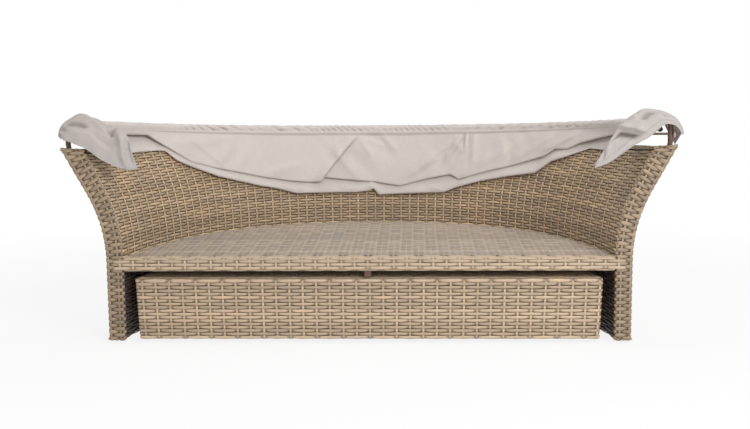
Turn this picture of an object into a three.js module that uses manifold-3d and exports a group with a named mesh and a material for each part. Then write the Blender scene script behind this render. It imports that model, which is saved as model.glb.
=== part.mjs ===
// Outdoor daybed with a folding canopy: a tube frame covered in woven wicker, a flat woven seat,
// a footstool that slides out from under it, and fabric hung on two bows that turn at the arm tops.
// Millimetres, +Z up. The open front faces -Y and +X is the right-hand arm seen from the front.
import * as THREE from 'three';
import { mergeVertices } from 'three/addons/utils/BufferGeometryUtils.js';
import Module from 'manifold-3d';

const wasm = await Module();
wasm.setup();

// Overall body
const outerHalfWidth = 888;
const outerDepth = 856;
const armHeight = 668;
const rimFall = 28;
const backHeight = armHeight - rimFall;
const seatHeight = 296;

// Wicker wall: upright to the seat, then leaning outwards in an arc and a straight
const flareStart = 285;
const flareRadius = 485;
const flareAngle = THREE.MathUtils.degToRad(28.5);
const backFlareShare = 0.75;
const armBaseThickness = 60;
const armTopThickness = 80;
const backThickness = 50;
const weaveThickness = 7;
const armFrontThickness = 12;
const rimWrapHeight = 14;
const baseWrapHeight = 6;
const stakeSpacing = 43;
const stakeRelief = 2.4;
const deckCrownWidth = 20;
const stakeCrowdingShare = 0.126;
const stakeCrowdingPower = 2.86;

// Frame
const frameTubeRadius = 12;
const seatBeamWidth = 25;
const seatBeamHeight = 24;
const deckThickness = 10;
const frontRailHeight = 47;
const frontRailDepth = 44;
const footHeight = 12;
const footRadius = 10;
const ribCount = 5;
const joistCount = 4;
const joistInset = 313;
const joistWidth = 25;
const railSoftening = 8;
const bracketWidth = 22;
const bracketDepth = 30;
const armPostShare = 0.99;
const postEmbedding = 68;
const postFootHeight = armHeight - postEmbedding;
const postLeanShare = 0.3;

// Canopy
const bowTubeRadius = 9;
const bowSpacing = 34;
const bowBackInset = 20.4;
const bowRise = 44;
const bowBackRise = 19;
const pivotRise = 37;
const pivotHeight = armHeight + pivotRise;
const pivotDepth = 31;
const bowCrankLength = 70;
const postTubeRadius = 9;
const postRise = 42;
const postHeight = pivotHeight + postRise;
const postInset = 24;
const pivotBoltRadius = 4;
const boltHeadRadius = 7;
const capRadius = 12;
const capThickness = 6;
const bowCrowdingShare = 0.35;
const bowTailShare = 1.4;

// Canopy fabric: sleeves round the bows, front and rear panels with their swags
const clothThickness = 2.4;
const sleeveRadius = 15;
const sleeveStartTurn = THREE.MathUtils.degToRad(-38);
const sleeveTurn = THREE.MathUtils.degToRad(322);
const sleeveEndShare = 0.93;
const sleeveSag = 2;
const frontDrop = 184;
const frontSpanShare = 0.68;
const frontCurvePower = 3;
const rearDrop = 190;
const rearLevelShare = 0.15;
const rearSpanShare = 0.75;
const shortDrop = 14;
const foldRadius = 5;
const foldCount = 9;
const foldDepth = 7;
const foldSlantShare = 0.12;
const returnShare = 0.6;
const rearSpreadShare = 0.33;
const panelStandOff = 24;

// Corner flaps: places are measured from the arm top, the posts and the front plane
const flapOverhang = 31;
const flapReach = 263;
const hemAtPost = 34;
const hemAtTip = -72;
const hemForward = 14;
const humpAtPost = 97;
const humpRise = 25;
const humpFall = 75;
const humpSpanShare = 0.7;
const humpBack = 20;
const flapBackHeight = 104;
const flapBackFall = 20;
const flapBackNear = 90;
const flapBackFar = 230;
const flapBackWidthShares = [0.97, 1.07];

// Footstool
const stoolHeight = 223;
const stoolFrameRadius = 10;
const stoolTopThickness = 10;
const stoolTopSpread = 9;
const stoolClearance = 16;
const stoolJoistInset = 522;

// Named clearances
const touchGap = 0.3;
const slideGap = 0.5;
const endGap = 0.7;
const boreClearance = 0.4;
const drapeClearance = 3;
const bracketClearance = 3;
const bowSideClearance = 9;
const stoolSideClearance = 46;
const stoolBackClearance = 106;
const chordClearance = 2.4;

// Half plan of the wicker wall as shares of its half width and depth, from the back's middle to an arm front
const planShares = new THREE.CubicBezierCurve(
  new THREE.Vector2(0, 1),
  new THREE.Vector2(0.755, 1),
  new THREE.Vector2(0.95, 0.33),
  new THREE.Vector2(1, 0)
);
const wallStart = armFrontThickness + touchGap;
const weldShare = 1e-7;
const stepShare = 1e-3;

const steel = { color: 0x4b3a30, roughness: 0.5, metalness: 0.6 };
const wicker = { color: 0xa38c74, roughness: 0.65, metalness: 0 };
const wickerSeat = { color: 0xaa9b8f, roughness: 0.65, metalness: 0 };
const wickerStool = { color: 0xb09a84, roughness: 0.65, metalness: 0 };
const lining = { color: 0x4a3d34, roughness: 0.8, metalness: 0 };
const plastic = { color: 0x1f1d1c, roughness: 0.6, metalness: 0 };
const pale = { color: 0xcfc8bf, roughness: 0.5, metalness: 0 };
const canvas = { color: 0xcbc2bc, roughness: 0.9, metalness: 0 };
const canvasBack = { color: 0xb9b0aa, roughness: 0.9, metalness: 0 };

const daybed = new THREE.Group();

// Puts a finished shape into the model as a named mesh with its own material.
function add(name, geometry, finish) {
  const mesh = new THREE.Mesh(geometry, new THREE.MeshStandardMaterial(finish));
  mesh.name = name;
  daybed.add(mesh);
  return mesh;
}

function smooth(share) {
  const x = Math.min(Math.max(share, 0), 1);
  return x * x * (3 - 2 * x);
}

function mix(a, b, share) {
  return a + (b - a) * share;
}

// How far the outer face leans out at a height: nothing, then an arc, then a straight.
function flare(z) {
  const arcHeight = flareRadius * Math.sin(flareAngle);
  const rise = Math.max(z - flareStart, 0);
  if (rise < arcHeight) {
    return flareRadius - Math.sqrt(flareRadius ** 2 - rise ** 2);
  }
  return flareRadius * (1 - Math.cos(flareAngle)) + (rise - arcHeight) * Math.tan(flareAngle);
}

// Places that follow the wall: the posts stand inside the arm tops' outer edge, the middle bow runs
// from post to post over the back's middle, and the footstool fits between the arms.
const postHalfSpan = outerHalfWidth + flare(armHeight) - postInset;
const middleBowHalfWidth = postHalfSpan - postTubeRadius - bowTubeRadius - bowSideClearance;
const middleBowDepth = outerDepth + backFlareShare * flare(backHeight) - bowBackInset;
const stoolHalfWidth = outerHalfWidth - armBaseThickness - stoolSideClearance;
const stoolDepth = outerDepth - backThickness - stoolBackClearance;

function armThickness(z) {
  return mix(armBaseThickness, armTopThickness, smooth((z - flareStart) / (armHeight - flareStart)));
}

// Top of the wicker wall, from -1 at the left arm front through 0 at the back to 1 at the right.
function rimHeight(s) {
  return mix(backHeight, armHeight, Math.abs(s) ** 6);
}

// A point of the wall's plan at a share s of the way round, for a given half width and depth.
function planPoint(s, halfWidth, depth, z) {
  const share = planShares.getPointAt(Math.min(Math.abs(s), 1));
  return new THREE.Vector3(
    Math.sign(s) * halfWidth * share.x,
    wallStart + (depth - wallStart) * share.y,
    z
  );
}

function outerFace(s, z, inset) {
  return planPoint(s, outerHalfWidth + flare(z) - inset, outerDepth + backFlareShare * flare(z) - inset, z);
}

function innerHalfWidth(z) {
  return outerHalfWidth + flare(z) - armThickness(z);
}

function innerDepth(z) {
  return outerDepth + backFlareShare * flare(z) - backThickness;
}

// The inner face of the wall; a positive inset goes into the wall, a negative one into the seat's space.
function innerFace(s, z, inset) {
  return planPoint(s, innerHalfWidth(z) + inset, innerDepth(z) + inset, z);
}

// The middle of the wall's thickness, where the frame runs; a positive offset goes outwards.
function middleFace(s, z, offset) {
  const halfWidth = outerHalfWidth + flare(z) - armThickness(z) / 2;
  const depth = outerDepth + backFlareShare * flare(z) - backThickness / 2;
  return planPoint(s, halfWidth + offset, depth + offset, z);
}

// The depth at which a faceted plan, given by its point at a share of the way round, crosses a
// distance from the middle.
function depthAcross(x, place, steps) {
  for (let i = Math.floor(steps / 2); i < steps; i += 1) {
    const from = place(i / steps);
    const to = place((i + 1) / steps);
    if (to.x >= Math.abs(x)) {
      return mix(from.y, to.y, (Math.abs(x) - from.x) / (to.x - from.x));
    }
  }
  return place(1).y;
}

// Turns a mesh's faces outwards when its signed volume is negative.
function facingOut(geometry) {
  const p = geometry.attributes.position;
  const index = geometry.index.array;
  const corner = [new THREE.Vector3(), new THREE.Vector3(), new THREE.Vector3()];
  let volume = 0;
  for (let i = 0; i < index.length; i += 3) {
    corner.forEach((c, k) => c.fromBufferAttribute(p, index[i + k]));
    volume += corner[0].dot(corner[1].clone().cross(corner[2]));
  }
  if (volume < 0) {
    for (let i = 0; i < index.length; i += 3) {
      [index[i], index[i + 1]] = [index[i + 1], index[i]];
    }
  }
  geometry.computeVertexNormals();
  return geometry;
}

// A closed shell between two surfaces of the same two shares, joined along its four edges.
function shell(across, along, front, back) {
  const positions = [];
  const faces = [];
  const at = (side, i, j) => side * (across + 1) * (along + 1) + i * (along + 1) + j;
  for (const surface of [front, back]) {
    for (let i = 0; i <= across; i += 1) {
      for (let j = 0; j <= along; j += 1) {
        positions.push(...surface(i / across, j / along).toArray());
      }
    }
  }
  const quad = (a, b, c, d) => faces.push(a, b, c, a, c, d);
  for (let i = 0; i < across; i += 1) {
    for (let j = 0; j < along; j += 1) {
      quad(at(0, i, j), at(0, i + 1, j), at(0, i + 1, j + 1), at(0, i, j + 1));
      quad(at(1, i, j), at(1, i, j + 1), at(1, i + 1, j + 1), at(1, i + 1, j));
    }
    quad(at(0, i, 0), at(1, i, 0), at(1, i + 1, 0), at(0, i + 1, 0));
    quad(at(0, i, along), at(0, i + 1, along), at(1, i + 1, along), at(1, i, along));
  }
  for (let j = 0; j < along; j += 1) {
    quad(at(0, 0, j), at(0, 0, j + 1), at(1, 0, j + 1), at(1, 0, j));
    quad(at(0, across, j), at(1, across, j), at(1, across, j + 1), at(0, across, j + 1));
  }
  const geometry = new THREE.BufferGeometry();
  geometry.setAttribute('position', new THREE.Float32BufferAttribute(positions, 3));
  geometry.setIndex(faces);
  return facingOut(geometry);
}

// A cloth of even thickness behind a surface, offset along the surface's own normals.
function cloth(across, along, surface, thickness) {
  const behind = (u, v) => {
    const u0 = Math.max(u - stepShare, 0);
    const u1 = Math.min(u + stepShare, 1);
    const v0 = Math.max(v - stepShare, 0);
    const v1 = Math.min(v + stepShare, 1);
    const du = surface(u1, v).sub(surface(u0, v));
    const dv = surface(u, v1).sub(surface(u, v0));
    return surface(u, v).addScaledVector(du.cross(dv).normalize(), thickness);
  };
  return shell(across, along, surface, behind);
}

function solid(geometry) {
  const bare = geometry.clone();
  bare.deleteAttribute('normal');
  bare.deleteAttribute('uv');
  bare.computeBoundingSphere();
  const merged = mergeVertices(bare, bare.boundingSphere.radius * weldShare);
  return new wasm.Manifold(new wasm.Mesh({
    numProp: 3,
    vertProperties: new Float32Array(merged.attributes.position.array),
    triVerts: new Uint32Array(merged.index.array),
  }));
}

function surfaceOf(body) {
  const mesh = body.getMesh();
  const result = new THREE.BufferGeometry();
  result.setAttribute('position', new THREE.BufferAttribute(new Float32Array(mesh.vertProperties), 3));
  result.setIndex(Array.from(mesh.triVerts));
  result.computeVertexNormals();
  return result;
}

function cut(geometry, ...tools) {
  let body = solid(geometry);
  for (const tool of tools) {
    body = body.subtract(solid(tool));
  }
  return surfaceOf(body);
}

// A round bar along a list of points or a curve, closed at both ends.
function roundBar(curve, radius, steps, sides = 8) {
  const section = new THREE.Shape();
  for (let i = 0; i < sides; i += 1) {
    const turn = (i + 0.5) / sides * 2 * Math.PI;
    const x = radius * Math.cos(turn);
    const y = radius * Math.sin(turn);
    if (i === 0) {
      section.moveTo(x, y);
    } else {
      section.lineTo(x, y);
    }
  }
  section.closePath();
  return new THREE.ExtrudeGeometry(section, { steps, curveSegments: 1, extrudePath: curve });
}

// From the middle of an eight-sided bar to its flats, which lie at its top and bottom.
function barFlat(radius) {
  return radius * Math.cos(Math.PI / 8);
}

function through(points) {
  return new THREE.CatmullRomCurve3(points, false, 'centripetal');
}

function alongPlan(place, from, to, count) {
  const points = [];
  for (let i = 0; i <= count; i += 1) {
    points.push(place(mix(from, to, i / count)));
  }
  return through(points);
}

// A straight-sided box between two corners.
function block(low, high) {
  const geometry = new THREE.BoxGeometry(high[0] - low[0], high[1] - low[1], high[2] - low[2]);
  geometry.translate((low[0] + high[0]) / 2, (low[1] + high[1]) / 2, (low[2] + high[2]) / 2);
  return geometry;
}

// A cylinder along X, between two places across the body.
function pinAcross(fromX, toX, y, z, radius, sides = 16) {
  const geometry = new THREE.CylinderGeometry(radius, radius, Math.abs(toX - fromX), sides);
  geometry.rotateZ(Math.PI / 2);
  geometry.translate((fromX + toX) / 2, y, z);
  return geometry;
}

function uprightDisc(x, y, fromZ, toZ, radius, sides = 16) {
  const geometry = new THREE.CylinderGeometry(radius, radius, toZ - fromZ, sides);
  geometry.rotateX(Math.PI / 2);
  geometry.translate(x, y, (fromZ + toZ) / 2);
  return geometry;
}

// Frame: a tube round the floor line, one under the rim, ribs between them and an upright in each arm
const baseWrapTop = footHeight + baseWrapHeight;
const baseTubeHeight = baseWrapTop + touchGap + frameTubeRadius;
const rimTubeDrop = rimWrapHeight + touchGap + frameTubeRadius;
const wallSteps = 28;
const baseEndShare = 0.995;
const rimTubeEndShare = 0.965;

function rimTubeHeight(s) {
  return rimHeight(s) - rimTubeDrop;
}

function rib(s) {
  const count = 6;
  const from = baseTubeHeight + barFlat(frameTubeRadius) + touchGap;
  const to = rimTubeHeight(s) - barFlat(frameTubeRadius) - endGap;
  const points = [];
  for (let i = 0; i <= count; i += 1) {
    points.push(middleFace(s, mix(from, to, i / count), 0));
  }
  return roundBar(through(points), frameTubeRadius, count);
}

const baseLine = alongPlan((s) => middleFace(s, baseTubeHeight, 0), -baseEndShare, baseEndShare, wallSteps);
add('base_tube', roundBar(baseLine, frameTubeRadius, wallSteps), steel);
const rimLine = alongPlan(
  (s) => middleFace(s, rimTubeHeight(s), 0), -rimTubeEndShare, rimTubeEndShare, wallSteps
);
add('rim_tube', roundBar(rimLine, frameTubeRadius, wallSteps), steel);
for (let i = 0; i < ribCount; i += 1) {
  const s = mix(-1, 1, (i + 1) / (ribCount + 1));
  add(`back_rib_${i + 1}`, rib(s), steel);
}

// Arm uprights, each ending under the canopy post that stands on it
for (const [side, name] of [[-1, 'left'], [1, 'right']]) {
  const count = 6;
  const from = baseTubeHeight + barFlat(frameTubeRadius) + touchGap;
  const points = [];
  for (let i = 0; i <= count; i += 1) {
    points.push(middleFace(side * armPostShare, mix(from, postFootHeight - endGap, i / count), 0));
  }
  add(`arm_upright_${name}`, roundBar(through(points), frameTubeRadius, count), steel);
}

// Seat frame: a beam round the wall, a front rail tube between the arm uprights and joists across
const railTop = seatHeight;
const railBottom = railTop - frontRailHeight;
const deckBottom = seatHeight - deckThickness;
const beamTop = deckBottom - touchGap;
const beamBottom = beamTop - seatBeamHeight;
const beamOffset = frameTubeRadius + touchGap;
const beamMiddle = (beamTop + beamBottom) / 2;
const beamEndShare = 0.9705;

function beamFace(offset, height) {
  return (u) => middleFace(mix(-beamEndShare, beamEndShare, u), beamMiddle, -offset).setZ(height);
}

add('seat_beam', shell(
  wallSteps,
  1,
  (u, v) => beamFace(beamOffset, mix(beamBottom, beamTop, v))(u),
  (u, v) => beamFace(beamOffset + seatBeamWidth, mix(beamBottom, beamTop, v))(u)
), steel);

const railTubeFront = wallStart;
const railTubeBack = railTubeFront + seatBeamWidth;
const armUprightInside = middleFace(armPostShare, beamMiddle, -frameTubeRadius).x - touchGap;
add('front_rail_tube', block(
  [-armUprightInside, railTubeFront, beamBottom],
  [armUprightInside, railTubeBack, beamTop]
), steel);

const joistBack = beamFace(beamOffset + seatBeamWidth + touchGap, beamMiddle);
for (let i = 0; i < joistCount; i += 1) {
  const x = mix(-1, 1, i / (joistCount - 1)) * (outerHalfWidth - joistInset);
  const depth = depthAcross(Math.abs(x) + joistWidth / 2, joistBack, wallSteps);
  add(`seat_joist_${i + 1}`, block(
    [x - joistWidth / 2, frontRailDepth + touchGap, beamBottom],
    [x + joistWidth / 2, depth, beamTop]
  ), steel);
}

// Woven deck of the seat, cut to the wall's inner plan, with its front edge behind the rail
function planPlate(halfWidth, depth, front, low, high, count, startShare) {
  const outline = new THREE.Shape();
  for (let i = 0; i <= count; i += 1) {
    const point = planPoint(mix(-startShare, startShare, i / count), halfWidth, depth, 0);
    if (i === 0) {
      outline.moveTo(point.x, front);
    }
    outline.lineTo(point.x, Math.max(point.y, front));
    if (i === count) {
      outline.lineTo(point.x, front);
    }
  }
  outline.closePath();
  const geometry = new THREE.ExtrudeGeometry(outline, { depth: high - low, bevelEnabled: false });
  geometry.translate(0, 0, low);
  return geometry;
}

// A slab whose top bulges over each stake: flat crowns that run from front to back, with shallow
// grooves between them. The middle crown lies on the body's middle.
function ribbedSlab(halfWidth, back, low, high) {
  const section = new THREE.Shape();
  const last = Math.ceil(halfWidth / stakeSpacing);
  const side = last * stakeSpacing + deckCrownWidth / 2;
  section.moveTo(-side, low);
  section.lineTo(side, low);
  for (let k = last; k >= -last; k -= 1) {
    const x = k * stakeSpacing;
    section.lineTo(x + deckCrownWidth / 2, high);
    section.lineTo(x - deckCrownWidth / 2, high);
    if (k > -last) {
      section.lineTo(x - stakeSpacing / 2, high - stakeRelief);
    }
  }
  section.closePath();
  const geometry = new THREE.ExtrudeGeometry(section, { depth: back, bevelEnabled: false });
  geometry.rotateX(Math.PI / 2);
  geometry.translate(0, back, 0);
  return geometry;
}

const deckEndShare = 0.97;
const deckHalfWidth = innerHalfWidth(seatHeight) - slideGap;
const deckDepth = innerDepth(seatHeight) - slideGap;
const deckPlate = planPlate(
  deckHalfWidth,
  deckDepth,
  frontRailDepth + touchGap,
  deckBottom,
  seatHeight + stakeRelief,
  36,
  deckEndShare
);
const deckRibs = ribbedSlab(deckHalfWidth, deckDepth + stakeSpacing, deckBottom - stakeRelief, seatHeight);
add('seat_deck', surfaceOf(solid(deckPlate).intersect(solid(deckRibs))), wickerSeat);

// Front rail wrapped in wicker: a square sleeve over the rail tube
const railHalfLength = innerHalfWidth(seatHeight) - slideGap;
const railSection = new THREE.Shape();
railSection.moveTo(0, railBottom);
railSection.lineTo(frontRailDepth, railBottom);
railSection.lineTo(frontRailDepth, railTop);
railSection.lineTo(railSoftening, railTop);
railSection.quadraticCurveTo(0, railTop, 0, railTop - railSoftening);
railSection.closePath();
const railBore = new THREE.Path();
railBore.moveTo(railTubeFront - touchGap, beamBottom - touchGap);
railBore.lineTo(railTubeFront - touchGap, beamTop + touchGap);
railBore.lineTo(railTubeBack + touchGap, beamTop + touchGap);
railBore.lineTo(railTubeBack + touchGap, beamBottom - touchGap);
railBore.closePath();
railSection.holes.push(railBore);
const railWrap = new THREE.ExtrudeGeometry(railSection, {
  depth: 2 * railHalfLength,
  bevelEnabled: false,
  curveSegments: 4,
});
railWrap.applyMatrix4(new THREE.Matrix4().makeBasis(
  new THREE.Vector3(0, 1, 0), new THREE.Vector3(0, 0, 1), new THREE.Vector3(1, 0, 0)
));
railWrap.translate(-railHalfLength, 0, 0);
add('front_rail_wrap', railWrap, wicker);

// Bracket under the middle of the rail, which keeps the footstool's top off the rail
add('rail_bracket', block(
  [-bracketWidth / 2, railTubeFront, stoolHeight + bracketClearance],
  [bracketWidth / 2, railTubeFront + bracketDepth, railBottom - touchGap]
), steel);

// Wicker skins of the wall
function skinTop(s) {
  return rimHeight(s) - rimWrapHeight - touchGap;
}

// Both skins bulge over each stake and draw in between, so they have a shallow upright rib at every
// stake. Their rows of faces follow the lean: some up the arc and one up the straight.
const wallLength = alongPlan((s) => outerFace(s, seatHeight, 0), -1, 1, wallSteps).getLength();
const stakeCount = 2 * Math.round(wallLength / stakeSpacing / 2);
const arcRows = 3;
const arcTop = flareStart + flareRadius * Math.sin(flareAngle);
const arcLevels = [];
for (let i = 1; i <= arcRows; i += 1) {
  arcLevels.push(mix(flareStart, arcTop, i / arcRows));
}

// The stakes stand a little closer together at the back than in the arms.
function stakeStation(u) {
  const t = mix(-1, 1, u);
  return t * mix(1 - stakeCrowdingShare, 1, Math.abs(t) ** stakeCrowdingPower);
}

// The height at a share of the way up a list of levels, which take equal shares, with the skin's top last.
function levelAt(levels, s, v) {
  const heights = [...levels, skinTop(s)];
  const row = v * (heights.length - 1);
  const below = Math.min(Math.floor(row), heights.length - 2);
  return mix(heights[below], heights[below + 1], row - below);
}

function wovenSkin(face, levels) {
  return shell(
    2 * stakeCount,
    levels.length,
    (u, v) => {
      const s = stakeStation(u);
      const drawnIn = stakeRelief * (1 - Math.cos(2 * Math.PI * stakeCount * u)) / 2;
      return face(s, levelAt(levels, s, v), drawnIn);
    },
    (u, v) => {
      const s = stakeStation(u);
      return face(s, levelAt(levels, s, v), weaveThickness);
    }
  );
}

add('inner_wall_weave', wovenSkin(innerFace, [seatHeight + slideGap, ...arcLevels]), wicker);
add('outer_wall_weave', wovenSkin(outerFace, [baseWrapTop + touchGap, flareStart, ...arcLevels]), wicker);
add('lower_lining', shell(
  wallSteps,
  1,
  (u, v) => innerFace(mix(-1, 1, u), mix(baseWrapTop + touchGap, railBottom - slideGap, v), 0),
  (u, v) => innerFace(mix(-1, 1, u), mix(baseWrapTop + touchGap, railBottom - slideGap, v), weaveThickness)
), lining);

// Wrapped edges: a rounded strip over the rim and a flat one under the wall
function wrapAcross(s, z, share) {
  return outerFace(s, z, 0).lerp(innerFace(s, z, 0), share);
}

const rimEdgeShare = 0.35;
const rimWrap = shell(
  wallSteps,
  5,
  (u, v) => {
    const s = mix(-1, 1, u);
    const crown = rimWrapHeight * mix(rimEdgeShare, 1, Math.sqrt(Math.max(Math.sin(Math.PI * v), 0)));
    return wrapAcross(s, rimHeight(s), v).setZ(rimHeight(s) - rimWrapHeight + crown);
  },
  (u, v) => {
    const s = mix(-1, 1, u);
    return wrapAcross(s, rimHeight(s), v).setZ(rimHeight(s) - rimWrapHeight);
  }
);
add('base_wrap', shell(
  wallSteps,
  1,
  (u, v) => wrapAcross(mix(-1, 1, u), footHeight, v).setZ(footHeight),
  (u, v) => wrapAcross(mix(-1, 1, u), footHeight, v).setZ(baseWrapTop)
), wicker);

// Arm fronts: flat woven faces that follow the flare, closing the ends of both skins
for (const [side, name] of [[-1, 'left'], [1, 'right']]) {
  const outline = new THREE.Shape();
  const rows = 12;
  for (let i = 0; i <= rows; i += 1) {
    const z = mix(footHeight, armHeight, i / rows);
    const x = side * (outerHalfWidth + flare(z));
    if (i === 0) {
      outline.moveTo(x, z);
    } else {
      outline.lineTo(x, z);
    }
  }
  for (let i = rows; i >= 0; i -= 1) {
    const z = mix(footHeight, armHeight, i / rows);
    outline.lineTo(side * innerHalfWidth(z), z);
  }
  outline.closePath();
  const geometry = new THREE.ExtrudeGeometry(outline, { depth: armFrontThickness, bevelEnabled: false });
  geometry.rotateX(Math.PI / 2);
  geometry.translate(0, armFrontThickness, 0);
  add(`arm_front_${name}`, geometry, wicker);
}

// Feet pressed up under the base wrap
const footTop = footHeight - touchGap;
const footShares = { front_left: -0.97, back_left: -0.33, back_right: 0.33, front_right: 0.97 };
for (const [name, s] of Object.entries(footShares)) {
  const place = middleFace(s, footHeight, 0);
  add(`foot_${name}`, uprightDisc(place.x, place.y, 0, footTop, footRadius), plastic);
}

// Canopy posts: tubes that stand on the arm uprights, pass up through the rim wrap and carry the pivots
const postBoreRadius = postTubeRadius + boreClearance;
const postStationShares = [0.25, 0.5, 0.75];
const postLines = {};
for (const [side, name] of [[-1, 'left'], [1, 'right']]) {
  const foot = middleFace(side * armPostShare, postFootHeight, 0);
  const bend = new THREE.Vector3(side * postHalfSpan, pivotDepth, armHeight);
  const head = bend.clone().setZ(postHeight);
  const middles = postStationShares.map((share) => bend.clone().lerp(head, share));
  const lean = middleFace(side * armPostShare, mix(postFootHeight, armHeight, postLeanShare), 0);
  postLines[name] = through([foot, lean, bend, ...middles, head]);
}

const bores = Object.values(postLines).map((line) => roundBar(line, postBoreRadius, 10, 12));
add('rim_wrap', cut(rimWrap, ...bores), wicker);

const boltOuterEnd = postHalfSpan + postTubeRadius + capThickness + touchGap;
const frontBowHalfWidth = middleBowHalfWidth - bowSpacing;
const frontBowDepth = middleBowDepth - bowSpacing;
const boltInnerEnd = frontBowHalfWidth - bowTubeRadius - 2 * capThickness;
for (const [side, name] of [[-1, 'left'], [1, 'right']]) {
  const bore = pinAcross(
    side * (postHalfSpan - 2 * postTubeRadius),
    side * (postHalfSpan + 2 * postTubeRadius),
    pivotDepth,
    pivotHeight,
    pivotBoltRadius + boreClearance
  );
  add(`canopy_post_${name}`, cut(roundBar(postLines[name], postTubeRadius, 10, 12), bore), steel);
  const shank = pinAcross(side * boltInnerEnd, side * boltOuterEnd, pivotDepth, pivotHeight, pivotBoltRadius);
  const nut = pinAcross(
    side * boltInnerEnd,
    side * (boltInnerEnd + capThickness),
    pivotDepth,
    pivotHeight,
    boltHeadRadius,
    6
  );
  add(`pivot_bolt_${name}`, surfaceOf(solid(shank).add(solid(nut))), steel);
  const capFrom = postHalfSpan + postTubeRadius + touchGap;
  const cap = pinAcross(
    side * capFrom,
    side * (capFrom + capThickness),
    pivotDepth,
    pivotHeight,
    capRadius,
    20
  );
  const eye = pinAcross(
    side * (capFrom - capThickness),
    side * (capFrom + 2 * capThickness),
    pivotDepth,
    pivotHeight,
    pivotBoltRadius + boreClearance
  );
  add(`pivot_washer_${name}`, cut(cap, eye), pale);
}

// Bows: bent tubes from pivot to pivot. From the pivot each rises in a short crank, then runs back
// over the rim with an even fall.
function bowHeight(y) {
  const run = y - pivotDepth;
  const line = mix(pivotHeight + bowRise, backHeight + bowBackRise, run / (middleBowDepth - pivotDepth));
  return mix(pivotHeight, line, smooth(run / bowCrankLength));
}

function bowPoint(s, halfWidth, depth) {
  const share = planShares.getPointAt(Math.min(Math.abs(s), 1));
  const y = pivotDepth + (depth - pivotDepth) * share.y;
  return new THREE.Vector3(Math.sign(s) * halfWidth * share.x, y, bowHeight(y));
}

// Stations along a bow are closer together near its cranked ends.
function bowStation(share) {
  const t = mix(-1, 1, share);
  return mix(t, Math.sin(t * Math.PI / 2), bowCrowdingShare);
}

const bowSteps = 36;
function bow(halfWidth, depth) {
  const points = [];
  for (let i = 0; i <= bowSteps; i += 1) {
    points.push(bowPoint(bowStation(i / bowSteps), halfWidth, depth));
  }
  for (const end of [0, points.length - 1]) {
    const out = points[end].clone();
    const tail = new THREE.Vector3(out.x, out.y - bowTubeRadius * bowTailShare, out.z);
    points.splice(end === 0 ? 0 : points.length, 0, tail);
  }
  const tube = roundBar(through(points), bowTubeRadius, bowSteps + 6);
  const holes = [-1, 1].map((side) => pinAcross(
    side * (halfWidth - 2 * bowTubeRadius),
    side * (halfWidth + 2 * bowTubeRadius),
    pivotDepth,
    pivotHeight,
    pivotBoltRadius + boreClearance
  ));
  return cut(tube, ...holes);
}

add('middle_bow', bow(middleBowHalfWidth, middleBowDepth), steel);
add('front_bow', bow(frontBowHalfWidth, frontBowDepth), steel);

// Fabric. A sleeve goes round a bow and is sewn to itself; the front panel hangs on from its seam.
// The turn round the bow is measured from straight inwards, over the top.

function sleevePoint(s, halfWidth, depth, turn, radius) {
  const inward = radius * Math.cos(turn);
  const up = radius * Math.sin(turn);
  const middle = bowPoint(s, halfWidth, depth);
  const moved = bowPoint(s, halfWidth - inward, depth - inward);
  return new THREE.Vector3(moved.x, moved.y, middle.z + up - sleeveSag);
}

add('middle_bow_sleeve', cloth(30, 8, (u, v) => sleevePoint(
  mix(-sleeveEndShare, sleeveEndShare, u),
  middleBowHalfWidth,
  middleBowDepth,
  sleeveStartTurn + sleeveTurn * v,
  sleeveRadius
), -clothThickness), canvasBack);

// How deep each panel hangs at a share of the way round. The front one gets shorter and shorter
// towards the arms. The rear one is level in the middle and rises from there in a long S.
const rearSteps = 22;

function frontHang(s) {
  return shortDrop + frontDrop * Math.max(1 - (Math.abs(s) / frontSpanShare) ** frontCurvePower, 0);
}

function rearHang(s) {
  const share = (Math.abs(s) - rearLevelShare) / (rearSpanShare - rearLevelShare);
  return shortDrop + rearDrop * (1 - smooth(share));
}

// Front panel: round its sleeve, down the inside of the wall in soft diagonal folds, a fold at the
// bottom and a short way up again behind.
const sleeveRows = 7;
const hangRows = 6;
const returnRows = 3;
const panelRows = sleeveRows + hangRows + returnRows;

function frontPanelPoint(u, v) {
  const s = mix(-sleeveEndShare, sleeveEndShare, u);
  const row = v * panelRows;
  const seamRadius = sleeveRadius + 2 * clothThickness;
  const seam = sleevePoint(s, frontBowHalfWidth, frontBowDepth, sleeveStartTurn, seamRadius);
  if (row <= sleeveRows) {
    const turn = sleeveStartTurn + sleeveTurn * (1 - row / sleeveRows);
    return sleevePoint(s, frontBowHalfWidth, frontBowDepth, turn, sleeveRadius);
  }
  const drop = frontHang(s);
  const down = Math.min((row - sleeveRows) / hangRows, 1);
  const z = seam.z - drop * down;
  const wave = Math.sin(foldCount * Math.PI * (u + foldSlantShare * down));
  const off = panelStandOff + foldDepth * wave * down * drop / frontDrop;
  const inward = 2 * foldRadius;
  const up = Math.max((row - sleeveRows - hangRows) / returnRows, 0);
  const atWall = innerFace(s, z, -off + inward * smooth(up * returnRows));
  const reach = Math.min(1, Math.hypot(seam.x, seam.y) / Math.hypot(atWall.x, atWall.y));
  const place = atWall.multiplyScalar(reach);
  const rise = Math.min(drop * returnShare, frontDrop / 2) * up;
  const turnDown = foldRadius * Math.sin(Math.PI * Math.min(up * returnRows, 1));
  return new THREE.Vector3(place.x, place.y, z + rise - turnDown);
}

add('front_panel', cloth(30, panelRows, frontPanelPoint, clothThickness), canvas);

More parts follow.
